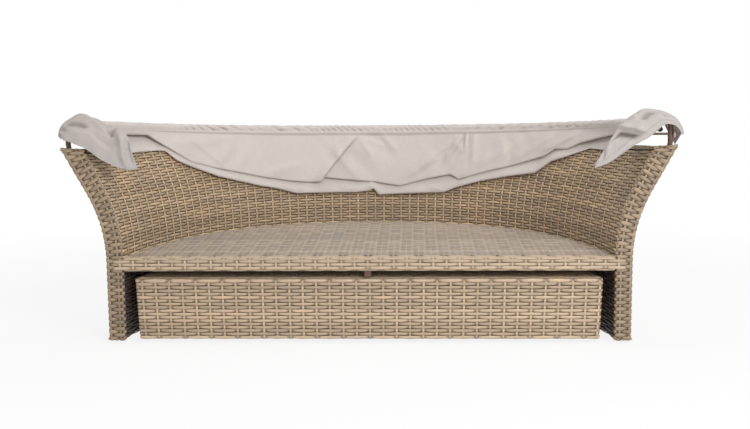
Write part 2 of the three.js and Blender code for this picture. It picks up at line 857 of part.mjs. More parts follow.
// Rear panel: laced to the wall just under the rim, hanging lower than the front one. Its columns
// follow the wall's own, so that it lies flat on them along the lacing.
const rearStandOff = drapeClearance + foldRadius;
add('rear_panel', cloth(rearSteps, 8, (u, v) => {
  const s = mix(-rearSteps, rearSteps, u) / wallSteps;
  const z = rimHeight(s) - rimWrapHeight - shortDrop / 2;
  const drop = rearHang(s);
  const wave = Math.sin(foldCount * Math.PI * (u + foldSlantShare * v)) * foldRadius / 2 * v;
  return innerFace(s, z - drop * v, -touchGap - (rearStandOff + wave) * smooth(v / rearSpreadShare));
}, -clothThickness), canvasBack);

// Corner flaps: the free ends of the front panel, thrown over the pivots. Each runs from the sleeve
// over a hump and down in front, and its hem falls from the arm top to a tip inside the wall.

function flapPoint(side) {
  return (u, v) => {
    const x = side * (postHalfSpan + flapOverhang - flapReach * u);
    const hump = humpRise * Math.sin(Math.PI * Math.min(u / humpSpanShare, 1)) - humpFall * smooth(2 * u - 1);
    const back = new THREE.Vector3(
      x * mix(...flapBackWidthShares, u),
      mix(flapBackNear, flapBackFar, u),
      armHeight + flapBackHeight - flapBackFall * smooth(u)
    );
    const crest = new THREE.Vector3(x, humpBack, armHeight + humpAtPost + hump);
    const hem = new THREE.Vector3(x, -hemForward * (1 - u), armHeight + mix(hemAtPost, hemAtTip, smooth(u)));
    const line = new THREE.QuadraticBezierCurve3(back, crest, hem);
    return line.getPoint(v);
  };
}

for (const [side, name] of [[-1, 'left'], [1, 'right']]) {
  add(`corner_flap_${name}`, cloth(12, 10, flapPoint(side), side * clothThickness), canvas);
}

// Footstool: a tube frame with a woven front, a woven band round the sides and back, and a woven top.
// It stands on its own feet, clear of the wall all round, and is drawn straight out to the front.
const stoolRingInset = weaveThickness + chordClearance + stoolFrameRadius;
const stoolTopRing = stoolHeight - stoolTopThickness - touchGap - stoolFrameRadius;
const stoolBaseRing = stoolClearance + barFlat(stoolFrameRadius);
const stoolBarBack = wallStart + 2 * stoolFrameRadius;
const stoolRingEndShare = 0.972;
const stoolSteps = 26;

// The footstool's sides lean out a little, so it is broader at its top than at its foot.
function stoolSide(z) {
  return stoolHalfWidth + stoolTopSpread * (z - stoolClearance) / (stoolHeight - stoolClearance);
}

function stoolFace(s, z, inset) {
  return planPoint(s, stoolSide(z) - inset, stoolDepth - inset, z);
}

const stoolFrontOutline = new THREE.Shape();
stoolFrontOutline.moveTo(-stoolSide(stoolClearance), stoolClearance);
stoolFrontOutline.lineTo(stoolSide(stoolClearance), stoolClearance);
stoolFrontOutline.lineTo(stoolSide(stoolHeight), stoolHeight);
stoolFrontOutline.lineTo(-stoolSide(stoolHeight), stoolHeight);
stoolFrontOutline.closePath();
const stoolFront = new THREE.ExtrudeGeometry(stoolFrontOutline, {
  depth: armFrontThickness,
  bevelEnabled: false,
});
stoolFront.rotateX(Math.PI / 2);
stoolFront.translate(0, armFrontThickness, 0);
add('stool_front_weave', stoolFront, wickerStool);
add('stool_side_weave', shell(
  stoolSteps,
  1,
  (u, v) => stoolFace(mix(-1, 1, u), mix(stoolClearance, stoolHeight - stoolTopThickness - touchGap, v), 0),
  (u, v) => stoolFace(
    mix(-1, 1, u), mix(stoolClearance, stoolHeight - stoolTopThickness - touchGap, v), weaveThickness
  )
), wickerStool);
add('stool_top_weave', planPlate(
  stoolSide(stoolHeight), stoolDepth, wallStart, stoolHeight - stoolTopThickness, stoolHeight, stoolSteps, 1
), wickerStool);
for (const [name, height] of [['top', stoolTopRing], ['base', stoolBaseRing]]) {
  const ring = alongPlan(
    (s) => stoolFace(s, height, stoolRingInset), -stoolRingEndShare, stoolRingEndShare, stoolSteps
  );
  add(`stool_${name}_ring`, roundBar(ring, stoolFrameRadius, stoolSteps), steel);
  const end = stoolSide(height) - stoolRingInset;
  const bar = pinAcross(-end, end, wallStart + stoolFrameRadius, height, stoolFrameRadius - touchGap, 8);
  add(`stool_${name}_bar`, bar, steel);
}

// The legs lean with the sides: an upright bar, sheared from the lower ring to the upper one.
const stoolLegShares = [-0.92, -0.35, 0.35, 0.92];
stoolLegShares.forEach((s, i) => {
  const low = stoolFace(s, stoolBaseRing, stoolRingInset);
  const high = stoolFace(s, stoolTopRing, stoolRingInset);
  const from = stoolBaseRing + barFlat(stoolFrameRadius) + touchGap;
  const to = stoolTopRing - barFlat(stoolFrameRadius) - touchGap;
  const leg = uprightDisc(0, low.y, from - stoolBaseRing, to - stoolBaseRing, stoolFrameRadius, 8);
  const shear = (high.x - low.x) / (stoolTopRing - stoolBaseRing);
  leg.applyMatrix4(new THREE.Matrix4().makeShear(0, 0, 0, 0, shear, 0));
  leg.translate(low.x, 0, stoolBaseRing);
  add(`stool_leg_${i + 1}`, leg, steel);
  add(`stool_foot_${i + 1}`, uprightDisc(low.x, low.y, 0, stoolClearance - touchGap, footRadius), plastic);
});
const stoolRingInside = (u) => stoolFace(
  mix(-stoolRingEndShare, stoolRingEndShare, u), stoolTopRing, stoolRingInset + stoolFrameRadius + touchGap
);
for (const [side, name] of [[-1, 'left'], [1, 'right']]) {
  const x = side * (stoolHalfWidth - stoolJoistInset);
  const depth = depthAcross(Math.abs(x) + stoolFrameRadius, stoolRingInside, stoolSteps);
  add(`stool_joist_${name}`, block(
    [x - stoolFrameRadius, stoolBarBack + touchGap, stoolTopRing - stoolFrameRadius],
    [x + stoolFrameRadius, depth, stoolTopRing + stoolFrameRadius]
  ), steel);
}

const box = new THREE.Box3().setFromObject(daybed);
const centre = box.getCenter(new THREE.Vector3());
daybed.position.set(-centre.x, -centre.y, -box.min.z);

export default daybed;
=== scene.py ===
import math

import bpy
import numpy as np
from mathutils import Euler, Matrix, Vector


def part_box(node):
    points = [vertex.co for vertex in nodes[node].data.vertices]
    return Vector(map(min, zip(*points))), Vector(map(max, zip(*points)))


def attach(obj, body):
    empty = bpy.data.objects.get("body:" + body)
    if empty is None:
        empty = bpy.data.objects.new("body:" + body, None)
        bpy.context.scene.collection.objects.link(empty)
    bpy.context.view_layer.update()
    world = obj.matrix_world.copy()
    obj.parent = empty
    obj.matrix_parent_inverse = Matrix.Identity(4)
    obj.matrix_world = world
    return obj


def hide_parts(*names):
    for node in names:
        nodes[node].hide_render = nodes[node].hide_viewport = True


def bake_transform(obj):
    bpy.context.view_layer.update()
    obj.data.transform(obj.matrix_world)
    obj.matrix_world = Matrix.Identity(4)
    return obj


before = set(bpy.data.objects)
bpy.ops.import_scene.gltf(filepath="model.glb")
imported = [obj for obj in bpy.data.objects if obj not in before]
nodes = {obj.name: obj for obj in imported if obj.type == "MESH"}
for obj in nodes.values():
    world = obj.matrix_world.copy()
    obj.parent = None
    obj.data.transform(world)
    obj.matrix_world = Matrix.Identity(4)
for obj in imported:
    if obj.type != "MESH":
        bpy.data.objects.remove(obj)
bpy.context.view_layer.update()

# Studio
# A pale floor that bends up into a backdrop, a soft lamp at the right front, a weak low one in front,
# a broad one above and an even sky. The camera stands where the photographer stood: about 4 m in
# front and a little to the right, at chest height, looking a little down and held not quite level.
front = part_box("arm_front_left")[0].y
camera_across, camera_distance, camera_height = 0.165, 3.963, 1.030
camera_tilt, camera_turn, camera_roll = math.radians(8.42), math.radians(2.0), math.radians(-0.49)
picture_width, focal_pixels = 750, 1200

camera_data = bpy.data.cameras.new("camera")
camera_data.sensor_width = 36
camera_data.lens = focal_pixels / picture_width * camera_data.sensor_width
camera = bpy.data.objects.new("camera", camera_data)
camera.location = (camera_across, front - camera_distance, camera_height)
camera_aim = Euler((math.pi / 2 - camera_tilt, 0, camera_turn)).to_matrix()
camera.rotation_euler = (camera_aim @ Matrix.Rotation(camera_roll, 3, "Z")).to_euler()
bpy.context.scene.collection.objects.link(camera)
bpy.context.scene.camera = camera
bpy.context.scene.view_settings.view_transform = "Standard"


class Value:
    """A socket that can be written in sums: each operator adds one Math node."""

    def __init__(self, material, socket):
        self.material = material
        self.socket = socket

    def maths(self, operation, *others):
        return self.material.node(
            "ShaderNodeMath", {"operation": operation}, {0: self, **dict(enumerate(others, 1))}
        )

    def __add__(self, other):
        return self.maths("ADD", other)

    def __mul__(self, other):
        return self.maths("MULTIPLY", other)

    def __sub__(self, other):
        return self.maths("SUBTRACT", other)

    def __pow__(self, other):
        return self.maths("POWER", other)


class Finish:
    """A material or a sky under construction, with one method that makes any node and one for each
    mixture."""

    def __init__(self, name, made=None):
        self.made = made or bpy.data.materials.new(name)
        self.made.use_nodes = True
        self.tree = self.made.node_tree
        self.shader = self.tree.nodes.get("Principled BSDF") or self.tree.nodes["Background"]

    def node(self, kind, settings=None, sockets=None, out=0):
        node = self.tree.nodes.new(kind)
        for name, value in (settings or {}).items():
            setattr(node, name, value)
        self.join(node, sockets or {})
        return Value(self, node.outputs[out])

    def join(self, node, sockets):
        for name, value in sockets.items():
            if isinstance(value, Value):
                self.tree.links.new(value.socket, node.inputs[name])
            else:
                node.inputs[name].default_value = value

    def set(self, **sockets):
        self.join(self.shader, {name.replace("_", " "): value for name, value in sockets.items()})
        return self.made

    def place(self):
        return self.node("ShaderNodeTexCoord", out="Object")

    def attribute(self, name, out="Vector"):
        return self.node("ShaderNodeAttribute", {"attribute_name": name}, out=out)

    def parts(self, vector):
        """The three numbers of a vector."""
        split = self.tree.nodes.new("ShaderNodeSeparateXYZ")
        self.tree.links.new(vector.socket, split.inputs[0])
        return [Value(self, output) for output in split.outputs]

    def vector(self, x, y, z):
        return self.node("ShaderNodeCombineXYZ", {}, {0: x, 1: y, 2: z})

    def noise(self, scale, detail=2.0, roughness=0.5, where=None):
        """Noise over the object or, where a vector is given, over that."""
        return self.node("ShaderNodeTexNoise", {}, {
            "Vector": where or self.place(), "Scale": scale, "Detail": detail, "Roughness": roughness,
        })

    def patches(self, low, high, *fineness, where=None):
        """Soft patches: noise taken from between two of its values to 0 to 1."""
        return self.between(self.noise(*fineness, where=where), low, high)

    def between(self, value, low, high, to_low=0.0, to_high=1.0):
        """A value taken from one range to another, held at both ends."""
        return self.node("ShaderNodeMapRange", {"clamp": True}, {
            "Value": value, "From Min": low, "From Max": high, "To Min": to_low, "To Max": to_high,
        })

    def colour(self, share, first, second, blend="MIX"):
        """Two colours mixed by a share; each is a colour socket or a list of red, green and blue."""
        node = self.tree.nodes.new("ShaderNodeMix")
        node.data_type, node.blend_type = "RGBA", blend
        whole = [c if isinstance(c, Value) else (*c, 1) for c in (first, second)]
        self.join(node, {0: share, 6: whole[0], 7: whole[1]})
        return Value(self, node.outputs[2])

    def bump(self, height, distance, strength):
        return self.node("ShaderNodeBump", {}, {
            "Height": height, "Distance": distance, "Strength": strength,
        })

    def seen(self):
        """1 for rays that come from the camera, straight or by way of gloss or glass, and 0 for others."""
        rays = [
            self.node("ShaderNodeLightPath", out=f"Is {kind} Ray")
            for kind in ("Camera", "Glossy", "Transmission")
        ]
        return rays[0].maths("MAXIMUM", rays[1]).maths("MAXIMUM", rays[2])

    def shown_as(self, share, other, end):
        """Ends the tree in its own shader mixed by a share with another one."""
        own = Value(self, self.shader.outputs[0])
        mixed = self.node("ShaderNodeMixShader", {}, {0: share, 1: own, 2: other})
        self.join(self.tree.nodes[end], {"Surface": mixed})


def screen_colour(red, green, blue):
    """A colour read as 0 to 255 in a picture, as the linear values that a shader takes."""
    return [((c / 255 + 0.055) / 1.055) ** 2.4 if c > 10 else c / 255 / 12.92 for c in (red, green, blue)]


def new_object(name, points, faces):
    """A mesh object at the origin from an array of points and a list of face arrays."""
    mesh = bpy.data.meshes.new(name)
    corners = np.concatenate([f.ravel() for f in faces])
    counts = np.concatenate([np.full(len(f), f.shape[1]) for f in faces])
    mesh.vertices.add(len(points))
    mesh.vertices.foreach_set("co", np.asarray(points, np.float32).ravel())
    mesh.loops.add(len(corners))
    mesh.loops.foreach_set("vertex_index", corners.astype(np.int32))
    mesh.polygons.add(len(counts))
    mesh.polygons.foreach_set("loop_start", (np.cumsum(counts) - counts).astype(np.int32))
    mesh.polygons.foreach_set("use_smooth", np.full(len(counts), True))
    mesh.update()
    mesh.validate()
    thing = bpy.data.objects.new(name, mesh)
    bpy.context.scene.collection.objects.link(thing)
    return thing


def grid_faces(rows, columns):
    """The four-cornered faces of a grid of points stored row by row."""
    i = np.arange(rows - 1)[:, None] * columns + np.arange(columns - 1)[None, :]
    return np.stack([i, i + 1, i + columns + 1, i + columns], axis=-1).reshape(-1, 4)


def points_of(x, y, z):
    """Points from their three measures, each of which may be one number for all."""
    return np.stack(np.broadcast_arrays(x, y, z), axis=-1)


def quarter(radius, steps):
    """A quarter round in a square corner: how far its points lie from the one side and the other."""
    turn = np.linspace(0, math.pi / 2, steps)
    return radius * (1 - np.sin(turn)), radius * (1 - np.cos(turn))


# The floor runs level, then up a quarter circle into the backdrop.
floor_half_width, floor_near, floor_far = 14.0, -12.0, 9.0
backdrop_radius, backdrop_height = 3.0, 9.0
backdrop = floor_far + backdrop_radius
before_backdrop, over_floor = quarter(backdrop_radius, 24)
run = np.concatenate([[floor_near], backdrop - before_backdrop, [backdrop]])
rise = np.concatenate([[0.0], over_floor, [backdrop_height]])
across = np.array([-floor_half_width, floor_half_width])
stage_points = points_of(across[None, :], run[:, None], rise[:, None])
floor = new_object("floor", stage_points.reshape(-1, 3), [grid_faces(len(run), 2)])

# The camera sees the paper nearly white close to the object, so that its soft shadow is kept on the
# floor, and white further off.
paper_colour, grain_colour, grain_share = (0.8, 0.8, 0.8), (0.76, 0.76, 0.76), 0.04
near_white, near_radius, far_radius, narrowing = 0.86, 1.1, 2.4, 0.6
white_light = {"Color": (1, 1, 1, 1), "Strength": 1.0}
paper = Finish("studio_paper")
grain = paper.patches(0.3, 0.7, 40.0) * grain_share
paper.set(Base_Color=paper.colour(grain, paper_colour, grain_colour), Roughness=0.9)
paper_x, paper_y, _ = paper.parts(paper.place())
distance = (paper_x * paper_x * narrowing + paper_y * paper_y) ** 0.5
white_share = paper.between(distance, near_radius, far_radius, near_white, 1.0)
white = paper.node("ShaderNodeEmission", {}, white_light)
paper.shown_as(paper.seen() * white_share, white, "Material Output")
floor.data.materials.append(paper.made)


def lamp(name, place, aim, width, height, power):
    """A soft rectangular lamp at a place, turned to a point."""
    data = bpy.data.lights.new(name, "AREA")
    data.shape, data.size, data.size_y, data.energy = "RECTANGLE", width, height, power
    thing = bpy.data.objects.new(name, data)
    thing.location = place
    forward = np.array(aim, float) - np.array(place, float)
    flat = math.hypot(forward[0], forward[1])
    thing.rotation_euler = (math.atan2(flat, -forward[2]), 0, math.atan2(-forward[0], forward[1]))
    bpy.context.scene.collection.objects.link(thing)


lamp("key_lamp", (2.0, -3.6, 2.7), (0, 0, 0.35), 2.0, 1.5, 112)
lamp("fill_lamp", (0.3, -4.2, 1.3), (0, 0, 0.4), 2.0, 1.2, 26)
lamp("top_lamp", (0, 0.2, 4.2), (0, 0.1, 0), 3.6, 2.4, 44)
sky_strength = 0.43
sky = Finish("sky", bpy.data.worlds.new("sky"))
bpy.context.scene.world = sky.made
sky.set(Color=(1, 1, 1, 1), Strength=sky_strength)
sky.shown_as(sky.seen(), sky.node("ShaderNodeBackground", {}, white_light), "World Output")

# Frame tubes
# Round and square aluminium tubes, welded together and powder coated brown: the wall's, the seat's
# and the footstool's frames under the wicker, and the canopy's posts and bows with their bolts. The
# coat is satin, with a fine orange-peel grain and thin dusty patches.
coat_colour = screen_colour(92, 66, 50)
dust_colour = screen_colour(150, 132, 116)


def dress(names, material):
    """Gives carried-over nodes of the frame their finish."""
    for name in names:
        nodes[name].data.materials.clear()
        nodes[name].data.materials.append(material)


coat = Finish("brown_powder_coat")
dust = coat.patches(0.52, 0.78, 26.0, 5.0, 0.6)
worn = coat.patches(0.6, 0.75, 140.0, 3.0)
dusty = coat.colour(dust * 0.35, coat_colour, dust_colour)
coat.set(
    Base_Color=coat.colour(worn * 0.25, dusty, [c * 0.6 for c in coat_colour]),
    Roughness=dust * 0.25 + 0.42,
    Coat_Weight=0.15,
    Coat_Roughness=0.3,
    Normal=coat.bump(coat.noise(900.0), 0.0003, 0.35),
)
tube_names = (
    "base_tube", "rim_tube", "back_rib", "arm_upright", "seat_beam", "seat_joist", "front_rail_tube",
    "rail_bracket", "middle_bow", "front_bow", "canopy_post", "pivot_bolt", "stool_top_ring",
    "stool_top_bar", "stool_base", "stool_leg", "stool_joist",
)
dress([n for n in nodes if n.startswith(tube_names) and "sleeve" not in n], coat.made)

# Feet
# Moulded black plastic glides pressed into the ends of the floor tube and the footstool's legs.
# They are matt, with a fine moulding grain and scuffed grey rims.
foot_colour = screen_colour(38, 34, 32)
scuff_colour = screen_colour(96, 90, 84)
moulded = Finish("moulded_foot")
foot_height_share = moulded.between(moulded.parts(moulded.place())[2], 0.0, 0.004, 1.0, 0.0)
foot_scuff = moulded.patches(0.5, 0.7, 300.0, 4.0) * foot_height_share
moulded.set(
    Base_Color=moulded.colour(foot_scuff * 0.7, foot_colour, scuff_colour),
    Roughness=0.62,
    Normal=moulded.bump(moulded.noise(1400.0), 0.0002, 0.3),
)
dress([n for n in nodes if n.startswith(("foot_", "stool_foot"))], moulded.made)

# Inner wall
# Half-round resin strands about 10 mm wide, woven plain over upright stakes about 43 mm apart: each
# row goes over one stake and under the next. The rows are level and follow the wall's curve from
# arm to arm, and the wall stands upright at the seat and leans out above it.
outer_half_width, outer_depth = 0.888, 0.856
arm_height, back_height, seat_height = 0.668, 0.640, 0.296
flare_start, flare_radius, flare_angle, back_flare = 0.285, 0.485, math.radians(28.5), 0.75
arm_base_thickness, arm_top_thickness, back_thickness = 0.060, 0.080, 0.050
wall_start, rim_wrap_height, base_wrap_top = 0.0123, 0.014, 0.018
strand_height, weave_depth = 0.0030, 0.0072
stake_width, stake_spacing = 0.0082, 0.043
share_length = 1.42  # metres along the wall for a share of 1


def lengths(points, axis=0):
    """How far along one way of a line or a grid of points each one lies, from the first."""
    first = np.take(points, [0], axis=axis)
    return np.cumsum(np.linalg.norm(np.diff(points, axis=axis, prepend=first), axis=-1), axis=axis)


def unit(vectors):
    return vectors / np.maximum(np.linalg.norm(vectors, axis=-1, keepdims=True), 1e-12)


# The plan from the middle of the back to an arm front: a cubic curve through four points, in shares
# of the half width and the depth.
bezier = np.array([(0, 1), (0.755, 1), (0.95, 0.33), (1, 0)], float)
bend = np.linspace(0, 1, 801)[:, None]
half_plan = (
    (1 - bend) ** 3 * bezier[0] + 3 * (1 - bend) ** 2 * bend * bezier[1]
    + 3 * (1 - bend) * bend**2 * bezier[2] + bend**3 * bezier[3]
)
plan_run = lengths(half_plan)
plan_run /= plan_run[-1]


def mix(a, b, share):
    return a + (b - a) * share


def smooth(share):
    """A share from 0 to 1 with a level start and end: three squares less two cubes."""
    x = np.clip(share, 0, 1)
    return x * x * (3 - 2 * x)


def plan(s, half_width, depth, start=wall_start):
    """The wall's plan at a share s from -1, the left arm front, through 0 to 1: x and y. Past the
    ends it runs straight on to the front."""
    share = np.minimum(np.abs(s), 1)
    past = np.maximum(np.abs(s) - 1, 0) * share_length
    x = np.interp(share, plan_run, half_plan[:, 0]) * half_width * np.sign(s)
    y = start + (depth - start) * np.interp(share, plan_run, half_plan[:, 1]) - past
    return x, y + front


def flare(z):
    """How far the outer face leans out at a height: nothing, then an arc, then a straight."""
    rise = np.maximum(z - flare_start, 0)
    arc_height = flare_radius * math.sin(flare_angle)
    arc = flare_radius - np.sqrt(flare_radius**2 - np.minimum(rise, arc_height) ** 2)
    return arc + np.maximum(rise - arc_height, 0) * math.tan(flare_angle)


def arm_thickness(z):
    share = smooth((z - flare_start) / (arm_height - flare_start))
    return mix(arm_base_thickness, arm_top_thickness, share)


def rim_height(s):
    return mix(back_height, arm_height, np.abs(s) ** 6)


def face(s, z, inner, off=0.0):
    """A point of the wall's outer face or, off the wall by some distance, of its inner face."""
    lean = flare(z)
    side, back = (arm_thickness(z) + off, back_thickness + off) if inner else (0.0, 0.0)
    x, y = plan(s, outer_half_width + lean - side, outer_depth + back_flare * lean - back)
    return points_of(x, y, z)


mean_flare = 0.9
slope_heights = np.linspace(0, arm_height, 400)
slope_run = lengths(np.stack([slope_heights, mean_flare * flare(slope_heights)], axis=-1))


def height_at(low, high, share):
    """The height at a share of the way up the leaning wall, measured along its slope."""
    from_run = np.interp(low, slope_heights, slope_run)
    to_run = np.interp(high, slope_heights, slope_run)
    return np.interp(mix(from_run, to_run, share), slope_run, slope_heights)


# Across a strand, from edge to edge and up: a flat half-round.
section = np.array([(-0.5, 0.0), (-0.40, 0.62), (-0.15, 1.0), (0.15, 1.0), (0.40, 0.62), (0.5, 0.0)])


def strands(middle, side, up, width, height, tone, along, sunk):
    """Closed half-round strands. middle, side and up are arrays of strands by points by 3, the line
    of each strand's flat back, the direction across it and the direction out of the surface. Each
    ring is the section, stretched to the width along side and to the height along up. Gives the
    points, the faces and for each point its place along the strand, across it, its tone and the
    share by which it has sunk into the weave."""
    count, steps, corners = middle.shape[0], middle.shape[1], len(section)
    width, height, along, sunk = (
        np.broadcast_to(a, (count, steps)) for a in (width, height, along, sunk)
    )
    ring = (
        middle[:, :, None, :]
        + side[:, :, None, :] * (width[..., None] * section[:, 0])[..., None]
        + up[:, :, None, :] * (height[..., None] * section[:, 1])[..., None]
    )
    first = (np.arange(count)[:, None] * steps + np.arange(steps - 1)[None, :]) * corners
    k = np.arange(corners)
    n = (k + 1) % corners
    quads = np.stack([
        first[..., None] + k, first[..., None] + n,
        first[..., None] + n + corners, first[..., None] + k + corners,
    ], axis=-1).reshape(-1, 4)
    start = (np.arange(count) * steps * corners)[:, None]
    end = start + (steps - 1) * corners
    caps = np.concatenate([
        start + np.array([5, 2, 1, 0]), start + np.array([5, 4, 3, 2]),
        end + np.array([0, 1, 2, 5]), end + np.array([2, 3, 4, 5]),
    ])
    note = np.stack([
        np.broadcast_to(a, (count, steps, corners))
        for a in (along[..., None], section[:, 0], np.reshape(tone, (-1, 1, 1)), sunk[..., None])
    ], axis=-1)
    return ring.reshape(-1, 3), np.concatenate([quads, caps]), note.reshape(-1, 4)


def frame_of(place, u, v, outward):
    """The point of a surface at each u and v, the unit direction across the rows and the unit
    normal, from small steps to both sides. outward is 1 or -1 and picks the normal's side."""
    step = 1e-3
    along = place(u + step, v) - place(u - step, v)
    rise = place(u, v + step) - place(u, v - step)
    normal = unit(np.cross(along, rise) * outward)
    return place(u, v), unit(np.cross(normal, along)), normal


row_waver, row_swelling = 0.03, 0.1
waver_stakes = (4, 11)  # over how many stakes a row wavers once
row_jump, stake_jump = 20, 3  # so that each strand has streaks of its own
stake_bend, stake_depth, stake_thick, stake_tone = 0.5, 0.6, 0.8, 2


def weave(place, rows, stakes, outward, seed, ends=(0.0, 1.0), tops=1.0, closed=False, shift=0.0,
          samples=6, dip=3.5, fill=0.90, swell=0.06, touch=0.07, depth=weave_depth, thick=strand_height):
    """A plain weave on a surface that place(u, v) gives for shares u along the rows and v up them.
    Row j runs at v = (j + 1/2) / rows, from the first to the second of its ends. It lies over every
    other stake and dips under the ones between, late and short: its rise is 1 less twice a power of
    half of 1 less a cosine, and neighbours take turns. It fills a share of the way to the next row,
    swells where it lies over a stake and touches its neighbours at the stakes, so that a slit opens
    midway between them. Stake k stands at u = (k + shift) / stakes and runs up v to its top, bent
    the other way, so that it comes nearly to the surface where a row goes under it. A stake's tone
    is raised by 2."""
    random = np.random.default_rng(seed)
    swing = (depth - thick) / 2
    first, last = (np.reshape(e, (-1, 1)) for e in ends)
    steps = int(stakes * samples * np.max(last - first)) + 1
    u = np.broadcast_to(mix(first, last, np.linspace(0, 1, steps)), (rows, steps))
    j = np.arange(rows)[:, None]
    waver = u * stakes / random.uniform(*waver_stakes, (rows, 1)) + random.random((rows, 1))
    v = (j + 0.5 + row_waver * np.sin(2 * math.pi * waver)) / rows
    turn = np.cos(math.pi * (u * stakes - shift + j))
    wave = 1 - 2 * ((1 - turn) / 2) ** dip
    middle, side, up = frame_of(place, u, v, outward)
    reach = np.linalg.norm(place(u, v + 0.5 / rows) - place(u, v - 0.5 / rows), axis=-1)
    along = lengths(middle, 1)
    middle = middle + up * ((wave - 1) * swing - thick)[..., None]
    width = fill * reach * (1 + swell * wave + touch * (2 * turn * turn - 1))
    parts = [strands(middle, side, up, width, thick * (1 + row_swelling * wave),
                     random.random(rows), along + row_jump * random.random((rows, 1)), 0.5 - 0.5 * wave)]
    k = np.arange(-math.floor(shift), math.floor(stakes - shift + 1e-6) + (0 if closed else 1))
    tops = np.broadcast_to(tops, k.shape)[:, None]
    k = k[:, None]
    v = np.linspace(0, 1, rows + 2) * tops
    u = np.broadcast_to((k + shift) / stakes, v.shape)
    wave = -np.cos(math.pi * (v * rows - 0.5 + k))
    middle, _, up = frame_of(place, u, v, outward)
    along = lengths(middle, 1)
    side = unit(np.cross(up, np.gradient(middle, axis=1)))
    middle = middle + up * ((stake_bend * wave - stake_depth) * swing - thick)[..., None]
    parts.append(strands(middle, side, up, stake_width, thick * stake_thick,
                         stake_tone + random.random(len(k)), along + stake_jump * k, 0.5 - 0.5 * wave))
    return parts


def closed_skin(near, far):
    """The points and faces of a closed sheet between two grids of columns by rows by 3."""
    columns, rows = near.shape[:2]
    faces = grid_faces(columns, rows)
    size = columns * rows
    loop = np.concatenate([
        np.arange(rows), np.arange(1, columns) * rows + rows - 1,
        (columns - 1) * rows + np.arange(rows - 2, -1, -1), np.arange(columns - 2, 0, -1) * rows,
    ])
    after = np.roll(loop, -1)
    edge = np.stack([loop, loop + size, after + size, after], axis=-1)
    points = np.concatenate([near.reshape(-1, 3), far.reshape(-1, 3)])
    return points, np.concatenate([faces, faces[:, ::-1] + size, edge])


def backing(place, columns, rows, outward, depth=weave_depth - 0.0002, thick=0.0006):
    """A thin closed skin behind a weave, which the wicker finish colours nearly black: painted shade
    for the dark inside seen between strands.
    """
    u, v = np.meshgrid(np.linspace(0, 1, columns), np.linspace(0, 1, rows), indexing="ij")
    points, _, normal = frame_of(place, u, v, outward)
    points, faces = closed_skin(points - normal * depth, points - normal * (depth + thick))
    note = np.zeros((len(points), 4))
    note[:, 2] = -1
    return points, faces, note


def turned_out(points, faces):
    """The faces with their corners in the order that makes the volume inside them positive."""
    a, b, c, d = (points[faces[:, i]] for i in range(4))
    volume = np.einsum("ij,ij->", a, np.cross(b, c)) + np.einsum("ij,ij->", a, np.cross(c, d))
    return faces if volume > 0 else faces[:, ::-1]


def joined(name, parts, material):
    """One object with a material from parts of points, faces and notes, and all the notes."""
    points, faces, notes, first = [], [], [], 0
    for p, f, n in parts:
        points.append(p)
        faces.append(turned_out(p - p.mean(axis=0), f) + first)
        notes.append(n)
        first += len(p)
    thing = new_object(name, np.concatenate(points), faces)
    thing.data.materials.append(material)
    return thing, np.concatenate(notes)


def keep_note(thing, name, values):
    """Keeps a number or a vector for each point, which the material reads."""
    kind, field = ("FLOAT", "value") if values.ndim == 1 else ("FLOAT_VECTOR", "vector")
    note = thing.data.attributes.new(name, kind, "POINT")
    note.data.foreach_set(field, values.astype(np.float32).ravel())


def wicker_piece(name, parts, material, body, slot, *replaced):
    """Joins strands into one piece of the object, notes where each point lies on its strand, and
    fixes it to its body."""
    thing, notes = joined(name, parts, material)
    keep_note(thing, "strand", notes[:, :3])
    keep_note(thing, "sunk", notes[:, 3])
    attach(thing, body)
    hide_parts(*replaced)


